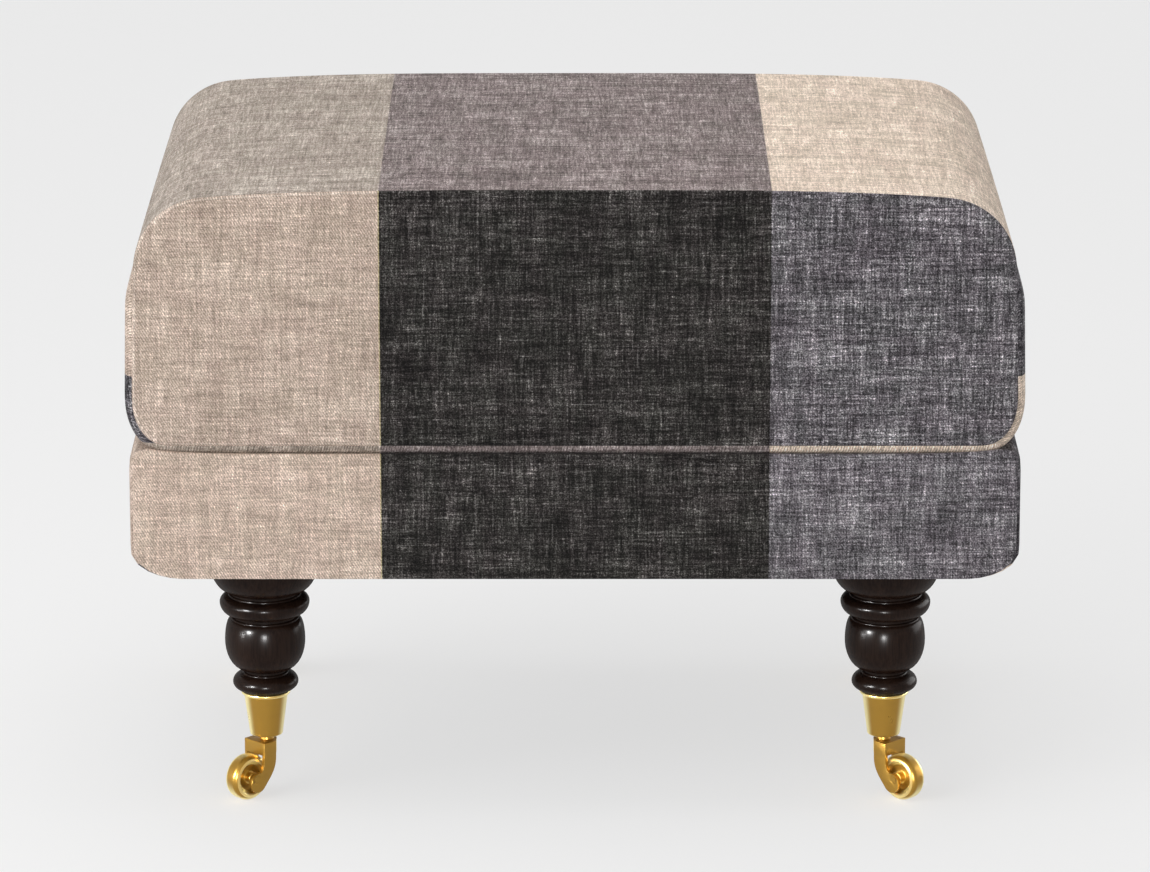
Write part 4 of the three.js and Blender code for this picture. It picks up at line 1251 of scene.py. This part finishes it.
def rounded(points, radius):
    """Rounds the inner corners of an open line of radius and height points."""
    line = [np.array(p, float) for p in points]
    result = [tuple(line[0])]
    for before, here, after in zip(line, line[1:], line[2:]):
        into, out = before - here, after - here
        reach = min(radius, np.linalg.norm(into) * 0.45, np.linalg.norm(out) * 0.45)
        start = here + into / np.linalg.norm(into) * reach
        end = here + out / np.linalg.norm(out) * reach
        for t in np.linspace(0, 1, ROUNDING_STEPS + 1):
            result.append(tuple((1 - t) ** 2 * start + 2 * (1 - t) * t * here + t**2 * end))
    result.append(tuple(line[-1]))
    return result


def swelling(top, bottom, radii, belly_share):
    """One swelling of a turning, from its top radius out to its belly and in to its bottom radius."""
    top_radius, belly_radius, bottom_radius = radii
    middle = top + (bottom - top) * belly_share
    points = []
    for i in range(1, SWELLING_STEPS + 1):
        height = top + (bottom - top) * (1 - math.cos(math.pi * i / SWELLING_STEPS)) / 2
        upper = height > middle
        reach = (height - middle) / (top - middle) if upper else (middle - height) / (middle - bottom)
        end_radius = top_radius if upper else bottom_radius
        points.append((end_radius + (belly_radius - end_radius) * math.sqrt(max(1 - reach**2, 0.0)), height))
    return points


def build_leg():
    """Collar, bead, vase and foot, turned in one piece with the spigot that fills the cup."""
    leg = bpy.context.scene.footstool_leg
    castor = bpy.context.scene.footstool_castor
    bolt_reach = 42 * MM
    socket = leg.top - bolt_reach
    spigot_bottom = castor.cup_bottom + castor.cup_floor + castor.pin_head_height + 2 * castor.gap
    taper_share = 0.84
    spigot_radius = leg.spigot - (castor.cup_radius - castor.cup_foot) * taper_share
    profile = [(0.0, socket), (BOLT_HOLE, socket), (BOLT_HOLE, leg.top), (leg.collar_top - 1.2 * MM, leg.top)]
    profile += [(leg.collar_top - 0.3 * MM, leg.top - 0.3 * MM)]
    parts = [
        (leg.top, leg.collar_foot, (leg.collar_top, leg.collar, leg.quirk), 0.18),
        (leg.collar_foot, leg.bead_foot, (leg.quirk, leg.bead, leg.waist), 0.36),
        (leg.bead_foot, leg.vase_foot, (leg.waist, leg.vase, leg.ankle), 0.43),
        (leg.vase_foot, leg.foot, (leg.ankle, leg.foot_belly, leg.spigot), 0.5),
    ]
    fillet = 1.4 * MM
    for k, (top, bottom, radii, belly_share) in enumerate(parts):
        if k:
            profile += [(radii[0] + out * fillet, top - down * fillet) for out, down in LEDGE]
            radii = (radii[0] + 1.1 * fillet, *radii[1:])
            top -= 2.4 * fillet
        profile += swelling(top, bottom, radii, belly_share)
    profile += [(spigot_radius, spigot_bottom), (0.0, spigot_bottom)]
    return turned("leg", profile, finish_named("stained wood"), LARGE_ROUND)


# Castors


def cup_inner_radius(castor, height):
    rise = (height - castor.cup_bottom) / (castor.cup_top - castor.cup_bottom)
    return castor.cup_foot + (castor.cup_radius - castor.cup_foot) * rise - castor.wall


def with_painted_highlight(obj, gets_painted_highlight):
    """Gives the faces whose middle passes the test a painted highlight: a paler copy of the brass."""
    obj.data.materials.append(finish_named("brass with painted highlight"))
    for face in obj.data.polygons:
        if gets_painted_highlight(face.center):
            face.material_index = 1
    return obj


def build_cup():
    """A tapered brass cup with a beaded rim, and a hole in its floor for the swivel pin."""
    castor = bpy.context.scene.footstool_castor
    bore = castor.pin_radius + castor.gap
    floor_top = castor.cup_bottom + castor.cup_floor
    rim_foot = castor.cup_top - castor.rim_height
    outside = [
        (bore, castor.cup_bottom),
        (castor.cup_foot, castor.cup_bottom),
        (castor.cup_radius, rim_foot),
        (castor.rim_radius, rim_foot + 0.3 * MM),
        (castor.rim_radius, castor.cup_top),
        (cup_inner_radius(castor, castor.cup_top), castor.cup_top),
        (cup_inner_radius(castor, floor_top), floor_top),
        (bore, floor_top),
    ]
    profile = rounded(outside, 1.0 * MM)
    cup = turned("cup", [*profile, profile[0]], finish_named("polished brass with painted reflection"), LARGE_ROUND)
    # The rim gets a painted highlight.
    return with_painted_highlight(cup, lambda centre: centre.z > rim_foot - 0.2 * MM)


def build_pin():
    """The swivel pin, riveted over above the cup's floor and below the fork's crown."""
    castor = bpy.context.scene.footstool_castor
    floor_top = castor.cup_bottom + castor.cup_floor + castor.gap
    crown_foot = castor.crown_bottom - castor.gap
    head = castor.pin_head_height
    dome = [(castor.pin_head * math.cos(a), head * math.sin(a)) for a in np.linspace(0, math.pi / 2, 9)[:-1]]
    profile = [(0.0, crown_foot - head)]
    profile += [(radius, crown_foot - rise) for radius, rise in reversed(dome)]
    profile += [(castor.pin_radius, crown_foot), (castor.pin_radius, floor_top)]
    profile += [(radius, floor_top + rise) for radius, rise in dome]
    profile += [(0.0, floor_top + head)]
    return turned("pin", profile, finish_named("polished brass with painted reflection"), SMALL_ROUND)


def arm_outline():
    """Side outline of a horn arm in trail and height: straight under the crown, then swept to a round lug."""
    castor = bpy.context.scene.footstool_castor
    crown_top = castor.crown_bottom + castor.crown_height
    lug = (castor.trail - castor.lug_behind, castor.wheel_radius - castor.lug_below)
    straight_end = crown_top - castor.arm_straight

    def on_lug(degrees, along=0.0):
        angle = math.radians(degrees)
        return (
            lug[0] + castor.lug_radius * math.cos(angle) + along * math.sin(angle),
            lug[1] + castor.lug_radius * math.sin(angle) - along * math.cos(angle),
        )

    front = cubic(
        (castor.crown_front, straight_end), (castor.crown_front, straight_end - 4.5 * MM),
        on_lug(100, -3 * MM), on_lug(100), 12,
    )
    around = [on_lug(degrees) for degrees in np.linspace(100, -140, 30)[1:-1]]
    rear = cubic(
        on_lug(220), on_lug(220, 8 * MM),
        (castor.arm_rear, straight_end - 10 * MM), (castor.arm_rear, straight_end), 14,
    )
    top = [(castor.arm_rear, crown_top), (castor.crown_front, crown_top)]
    return [*top, *map(tuple, front), *around, *map(tuple, rear)]


def extruded(name, outline, low, high, along_y, finish):
    """Extrudes a closed outline upwards, or along Y, between two places."""
    points = []
    for at in (low, high):
        points += [(a, at, b) if along_y else (a, b, at) for a, b in outline]
    start, end = np.arange(len(points)).reshape(2, -1)
    faces = [start, end[::-1], *faces_between(start, end)]
    return outward(object_of(name, points, faces, [finish]))


def cylinder(name, radius, low, high, finish, steps):
    return turned(name, [(0.0, low), (radius, low), (radius, high), (0.0, high)], finish, steps)


def combined(base, parts, operation):
    """Joins the parts to the base, or cuts them out of it."""
    for part in parts:
        step = base.modifiers.new("step", "BOOLEAN")
        step.operation = operation
        step.solver = "EXACT"
        step.object = part
    apply_modifiers(base)
    for part in parts:
        bpy.data.objects.remove(part)
    return base


def axle_profile(castor, gap, proud):
    half = castor.fork_width / 2
    side = [
        (castor.axle_radius + gap, half - castor.axle_sink),
        (castor.axle_head + gap, half),
        (castor.axle_head + gap, half + proud),
        (0.0, half + proud),
    ]
    return [(radius, -at) for radius, at in reversed(side)] + side


def across(obj):
    """Turns a turned piece from the Z axis to the wheel's axis."""
    castor = bpy.context.scene.footstool_castor
    obj.data.transform(Matrix.Rotation(math.pi / 2, 4, "X"))
    obj.data.transform(Matrix.Translation((castor.trail, 0.0, castor.wheel_radius)))
    return obj


def build_fork():
    """A crown round the swivel pin, with two horn arms that sweep down and back to the axle."""
    castor = bpy.context.scene.footstool_castor
    brass = finish_named("brass with narrow painted reflection")
    crown_top = castor.crown_bottom + castor.crown_height
    half = castor.fork_width / 2
    shoulder = castor.crown_radius * math.sqrt(0.5)
    plan = [(castor.crown_front, -half), (castor.crown_front, half)]
    plan += [(castor.arm_rear, half), (-shoulder, shoulder)]
    for angle in np.radians(np.linspace(135, 225, 13))[1:-1]:
        plan.append((castor.crown_radius * math.cos(angle), castor.crown_radius * math.sin(angle)))
    plan += [(-shoulder, -shoulder), (castor.arm_rear, -half)]
    fork = extruded("fork", plan, castor.crown_bottom, crown_top, False, brass)
    outline = arm_outline()
    arms = [
        extruded("near arm", outline, half - castor.arm, half, True, brass),
        extruded("far arm", outline, -half, castor.arm - half, True, brass),
    ]
    neck_top = crown_top + castor.neck_height
    neck = cylinder("neck", castor.neck_radius, castor.crown_bottom + OVERLAP, neck_top, brass, NECK_ROUND)
    combined(fork, [*arms, neck], "UNION")
    bore = castor.pin_radius + castor.gap
    cuts = [
        cylinder("hole", bore, castor.crown_bottom - OVERLAP, neck_top + OVERLAP, brass, SMALL_ROUND),
        across(turned("bar", axle_profile(castor, castor.gap, OVERLAP), brass, SMALL_ROUND)),
    ]
    combined(fork, cuts, "DIFFERENCE")
    edges = fork.modifiers.new("edges", "BEVEL")
    edges.width = castor.edge
    edges.segments = 3
    edges.limit_method = "ANGLE"
    edges.angle_limit = math.radians(38)
    return crisp(apply_modifiers(fork), 30)


def build_wheel():
    """A brass wheel with a rounded tread, dished sides and a hub that stands out to the fork."""
    castor = bpy.context.scene.footstool_castor
    half = castor.wheel_width / 2
    bore = castor.axle_radius + castor.gap
    corner = castor.tread_corner
    dish = [
        (bore, castor.hub_width / 2),
        (castor.hub_radius, castor.hub_width / 2),
        (castor.hub_radius, castor.web_width / 2),
        (castor.dish, castor.web_width / 2),
        (castor.rim_crest - 0.7 * MM, half - 0.5 * MM),
        (castor.rim_crest, half),
    ]
    side = rounded(dish, 0.8 * MM)
    for angle in np.linspace(math.pi / 2, 0, 10)[1:]:
        radius = castor.wheel_radius - corner + corner * math.cos(angle)
        side.append((radius, half - corner + corner * math.sin(angle)))
    profile = side + [(radius, -at) for radius, at in reversed(side)]
    wheel = turned("wheel", [*profile, profile[0]], finish_named("polished brass with painted reflection"), LARGE_ROUND)
    # The crest of the wheel's rim gets a painted highlight.
    low, high = castor.rim_crest - 1.4 * MM, castor.rim_crest + 1.6 * MM
    return across(with_painted_highlight(wheel, lambda centre: low < centre.xy.length < high))


def build_axle():
    castor = bpy.context.scene.footstool_castor
    profile = axle_profile(castor, 0.0, 0.2 * MM)
    return across(turned("axle", profile, finish_named("polished brass with painted reflection"), SMALL_ROUND))


# Operators


def set_at_corners(source, name, node, turns, body, of_corner=False):
    """Copies a piece to the four corners, where it stands for the nodes of that name."""
    for corner in CORNERS:
        obj = bpy.data.objects.new(f"{name}_{corner}", source.data.copy())
        bpy.context.scene.collection.objects.link(obj)
        obj.location = (*middle_of(f"leg_{corner}"), 0.0)
        obj.rotation_euler = (0.0, 0.0, turns[corner])
        bpy.context.view_layer.update()
        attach(obj, f"{body}_{corner}" if of_corner else body)
        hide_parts(f"{node}_{corner}")
    bpy.data.objects.remove(source)


def trail_turns():
    """The angle that each castor trails at, outwards from its corner."""
    return {corner: math.atan2(side_y, side_x) for corner, (side_x, side_y) in CORNERS.items()}


def finish_node(node, name):
    """Gives a piece that keeps its construction shape its own finish."""
    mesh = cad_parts[node].data
    mesh.materials.clear()
    mesh.materials.append(finish_named(name))


class FOOTSTOOL_OT_studio(bpy.types.Operator):
    """Make the camera, the floor with its backdrop, and the lamps"""

    bl_idname = "footstool.studio"
    bl_label = "Studio"

    def execute(self, context):
        settings = context.scene.footstool_studio
        camera = bpy.data.cameras.new("camera")
        camera.lens = settings.lens
        camera.sensor_width = 36.0
        camera.sensor_fit = "HORIZONTAL"
        camera.clip_end = 100.0
        eye = bpy.data.objects.new("camera", camera)
        eye.location = (0.0, -settings.distance, settings.height)
        eye.rotation_euler = (math.radians(90 - settings.pitch), 0.0, 0.0)
        context.scene.collection.objects.link(eye)
        context.scene.camera = eye
        self.floor(context, settings)
        self.lamps(context)
        context.scene.view_settings.view_transform = "Standard"
        return {"FINISHED"}

    def floor(self, context, settings):
        reach, back, bend, top = 9.0, 5.6, 1.8, 7.0
        sweep = [(-reach, 0.0), (back, 0.0)]
        for angle in np.linspace(0, math.pi / 2, 24)[1:]:
            sweep.append((back + bend * math.sin(angle), bend - bend * math.cos(angle)))
        sweep.append((back + bend, top))
        points = [(x, y, z) for y, z in sweep for x in (-reach, reach)]
        faces = [(2 * i, 2 * i + 1, 2 * i + 3, 2 * i + 2) for i in range(len(sweep) - 1)]
        floor = smooth(object_of("floor", points, faces))
        made, tree, surface = new_material("floor")
        position = tree.position()
        uneven = tree.noise(position, (3.0, 3.0, 3.0), detail=2.0, seed=4.0)
        tone = tree.mix(uneven, tinted(settings.floor, 0.995, 0.995, 0.995), settings.floor)
        tree.fill(surface, {"Base Color": tone, "Roughness": 0.9, "Specular IOR Level": 0.0})
        _, y, _ = tree.split(position)
        paler = tree.mix(tree.ramp(y, 0.7, 3.5), (0.955, 0.955, 0.955), (1.0, 1.0, 1.0))
        glow = tree.add("ShaderNodeEmission", {"Color": paler, "Strength": 1.0}).outputs[0]
        amount = tree.math("MULTIPLY", tree.seen(), 0.67)
        above = tree.add("ShaderNodeMixShader", {0: amount, 1: surface.outputs[0], 2: glow}).outputs[0]
        clear = tree.add("ShaderNodeBsdfTransparent").outputs[0]
        under = tree.add("ShaderNodeNewGeometry").outputs["Backfacing"]
        both = tree.add("ShaderNodeMixShader", {0: under, 1: above, 2: clear}).outputs[0]
        output = next(n for n in tree.tree.nodes if n.type == "OUTPUT_MATERIAL")
        tree.tree.links.new(both, output.inputs["Surface"])
        floor.data.materials.append(made)

    def lamps(self, context):
        # The air lights the cloth softly, and looks brighter where the eye or a gloss meets it
        world = bpy.data.worlds.new("studio air")
        world.use_nodes = True
        tree = Tree(world.node_tree)
        world.node_tree.nodes.clear()
        level = tree.math("MULTIPLY_ADD", tree.seen(), 0.42, 0.42)
        air = tree.add("ShaderNodeBackground", {"Color": (1.0, 1.0, 1.0, 1.0), "Strength": level})
        output = tree.add("ShaderNodeOutputWorld")
        world.node_tree.links.new(air.outputs[0], output.inputs["Surface"])
        context.scene.world = world
        middle = Vector((0.0, 0.0, 0.25))
        # Name, azimuth and elevation in degrees, distance and size in metres, brightness, and what it lights
        places = [
            ("key lamp", -48, 30, 3.6, 2.0, 0.27, "soft"),
            ("camera lamp", -2, 20, 4.2, 1.6, 0.08, "soft"),
            ("left lamp", -70, 22, 3.6, 1.6, 0.13, "soft"),
            ("top lamp", -90, 88, 2.6, 2.0, 0.36, "soft"),
            ("high glint", -47, 12, 3.4, 0.3, 3.2, "glint"),
            ("middle glint", -2, 1, 3.9, 0.26, 1.2, "glint"),
            ("low glint", -64, 0.5, 3.0, 0.22, 0.5, "glint"),
            ("side panel", 116, 4, 3.0, 2.8, 1.15, "glint"),
        ]
        for name, azimuth, elevation, distance, size, level, kind in places:
            lamp = bpy.data.lights.new(name, "AREA")
            lamp.shape = "SQUARE"
            lamp.size = size
            lamp.energy = level * math.pi**2 * distance**2
            obj = bpy.data.objects.new(name, lamp)
            turn, rise = math.radians(azimuth), math.radians(elevation)
            away = Vector((math.sin(turn) * math.cos(rise), -math.cos(turn) * math.cos(rise), math.sin(rise)))
            obj.location = middle + away * distance
            obj.rotation_euler = (-away).to_track_quat("-Z", "Y").to_euler()
            obj.visible_glossy = kind == "glint"
            obj.visible_diffuse = kind == "soft"
            context.scene.collection.objects.link(obj)


class FOOTSTOOL_OT_cushion(bpy.types.Operator):
    """Make the box cushion in check linen"""

    bl_idname = "footstool.cushion"
    bl_label = "Cushion"

    def execute(self, context):
        cushion = build_cushion()
        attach(cushion, STOOL_BODY)
        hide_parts("cushion_foam", "cushion_band", "cushion_front_panel", "cushion_back_panel")
        return {"FINISHED"}


class FOOTSTOOL_OT_base(bpy.types.Operator):
    """Make the linen cover of the base"""

    bl_idname = "footstool.base"
    bl_label = "Base"

    def execute(self, context):
        cover = open_underside(build_base(), context.scene.footstool_base)
        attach(cover, STOOL_BODY)
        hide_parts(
            "base_front_panel", "base_back_panel", "base_right_band", "base_left_band",
            "right_side_pad", "left_side_pad", "front_pad", "back_pad", "deck_pad",
        )
        return {"FINISHED"}


class FOOTSTOOL_OT_underside(bpy.types.Operator):
    """Make the dust cloth and the webbing"""

    bl_idname = "footstool.underside"
    bl_label = "Underside"

    def execute(self, context):
        cloth = build_dust_cloth()
        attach(cloth, STOOL_BODY)
        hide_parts("dust_cloth")
        for k in (1, 2):
            node = f"long_web_{k}"
            self.strap(long_strap(f"long_strap_{k}", node), node, 0, ["left_rail", "right_rail"])
        for k in (1, 2, 3, 4):
            node = f"cross_web_{k}"
            self.strap(cross_strap(f"cross_strap_{k}", node, k - 1), node, 1, ["front_rail", "back_rail"])
        return {"FINISHED"}

    def strap(self, obj, node, axis, rails):
        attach(obj, STOOL_BODY)
        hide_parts(node)


class FOOTSTOOL_OT_frame(bpy.types.Operator):
    """Finish the wooden frame and its bolts"""

    bl_idname = "footstool.frame"
    bl_label = "Frame"

    def execute(self, context):
        for side in ("front", "back", "left", "right"):
            finish_node(f"{side}_rail", "bare beech")
        for corner in CORNERS:
            finish_node(f"corner_block_{corner}", "bare beech")
            finish_node(f"leg_bolt_{corner}", "zinc steel")
            finish_node(f"leg_nut_{corner}", "zinc steel")
        return {"FINISHED"}


class FOOTSTOOL_OT_legs(bpy.types.Operator):
    """Make the four turned legs"""

    bl_idname = "footstool.legs"
    bl_label = "Legs"

    def execute(self, context):
        turns = {corner: 1.9 * k for k, corner in enumerate(CORNERS)}
        set_at_corners(build_leg(), "turned_leg", "leg", turns, STOOL_BODY)
        return {"FINISHED"}


class FOOTSTOOL_OT_castors(bpy.types.Operator):
    """Make the four brass cup castors"""

    bl_idname = "footstool.castors"
    bl_label = "Castors"

    def execute(self, context):
        turns = trail_turns()
        set_at_corners(build_cup(), "brass_cup", "cup", turns, STOOL_BODY)
        set_at_corners(build_pin(), "rivet_pin", "swivel_pin", turns, STOOL_BODY)
        set_at_corners(build_fork(), "horn_fork", "fork", turns, "castor", True)
        set_at_corners(build_axle(), "axle_bar", "axle", turns, "castor", True)
        set_at_corners(build_wheel(), "brass_wheel", "wheel", turns, "wheel", True)
        return {"FINISHED"}


OPERATORS = [
    FOOTSTOOL_OT_studio,
    FOOTSTOOL_OT_cushion,
    FOOTSTOOL_OT_base,
    FOOTSTOOL_OT_underside,
    FOOTSTOOL_OT_frame,
    FOOTSTOOL_OT_legs,
    FOOTSTOOL_OT_castors,
]


class FOOTSTOOL_PT_panel(bpy.types.Panel):
    """Lists the footstool's pieces"""

    bl_idname = "FOOTSTOOL_PT_panel"
    bl_label = "Footstool"
    bl_space_type = "VIEW_3D"
    bl_region_type = "UI"
    bl_category = "Footstool"

    def draw(self, context):
        for operator in OPERATORS:
            self.layout.operator(operator.bl_idname)


CLASSES = [*SETTINGS.values(), *OPERATORS, FOOTSTOOL_PT_panel]


def register():
    for cls in CLASSES:
        bpy.utils.register_class(cls)
    for name, cls in SETTINGS.items():
        setattr(bpy.types.Scene, name, PointerProperty(type=cls))


def unregister():
    for name in SETTINGS:
        delattr(bpy.types.Scene, name)
    for cls in reversed(CLASSES):
        bpy.utils.unregister_class(cls)


def main():
    register()
    for operator in OPERATORS:
        area, name = operator.bl_idname.split(".")
        getattr(getattr(bpy.ops, area), name)()


if __name__ == "__main__":
    main()
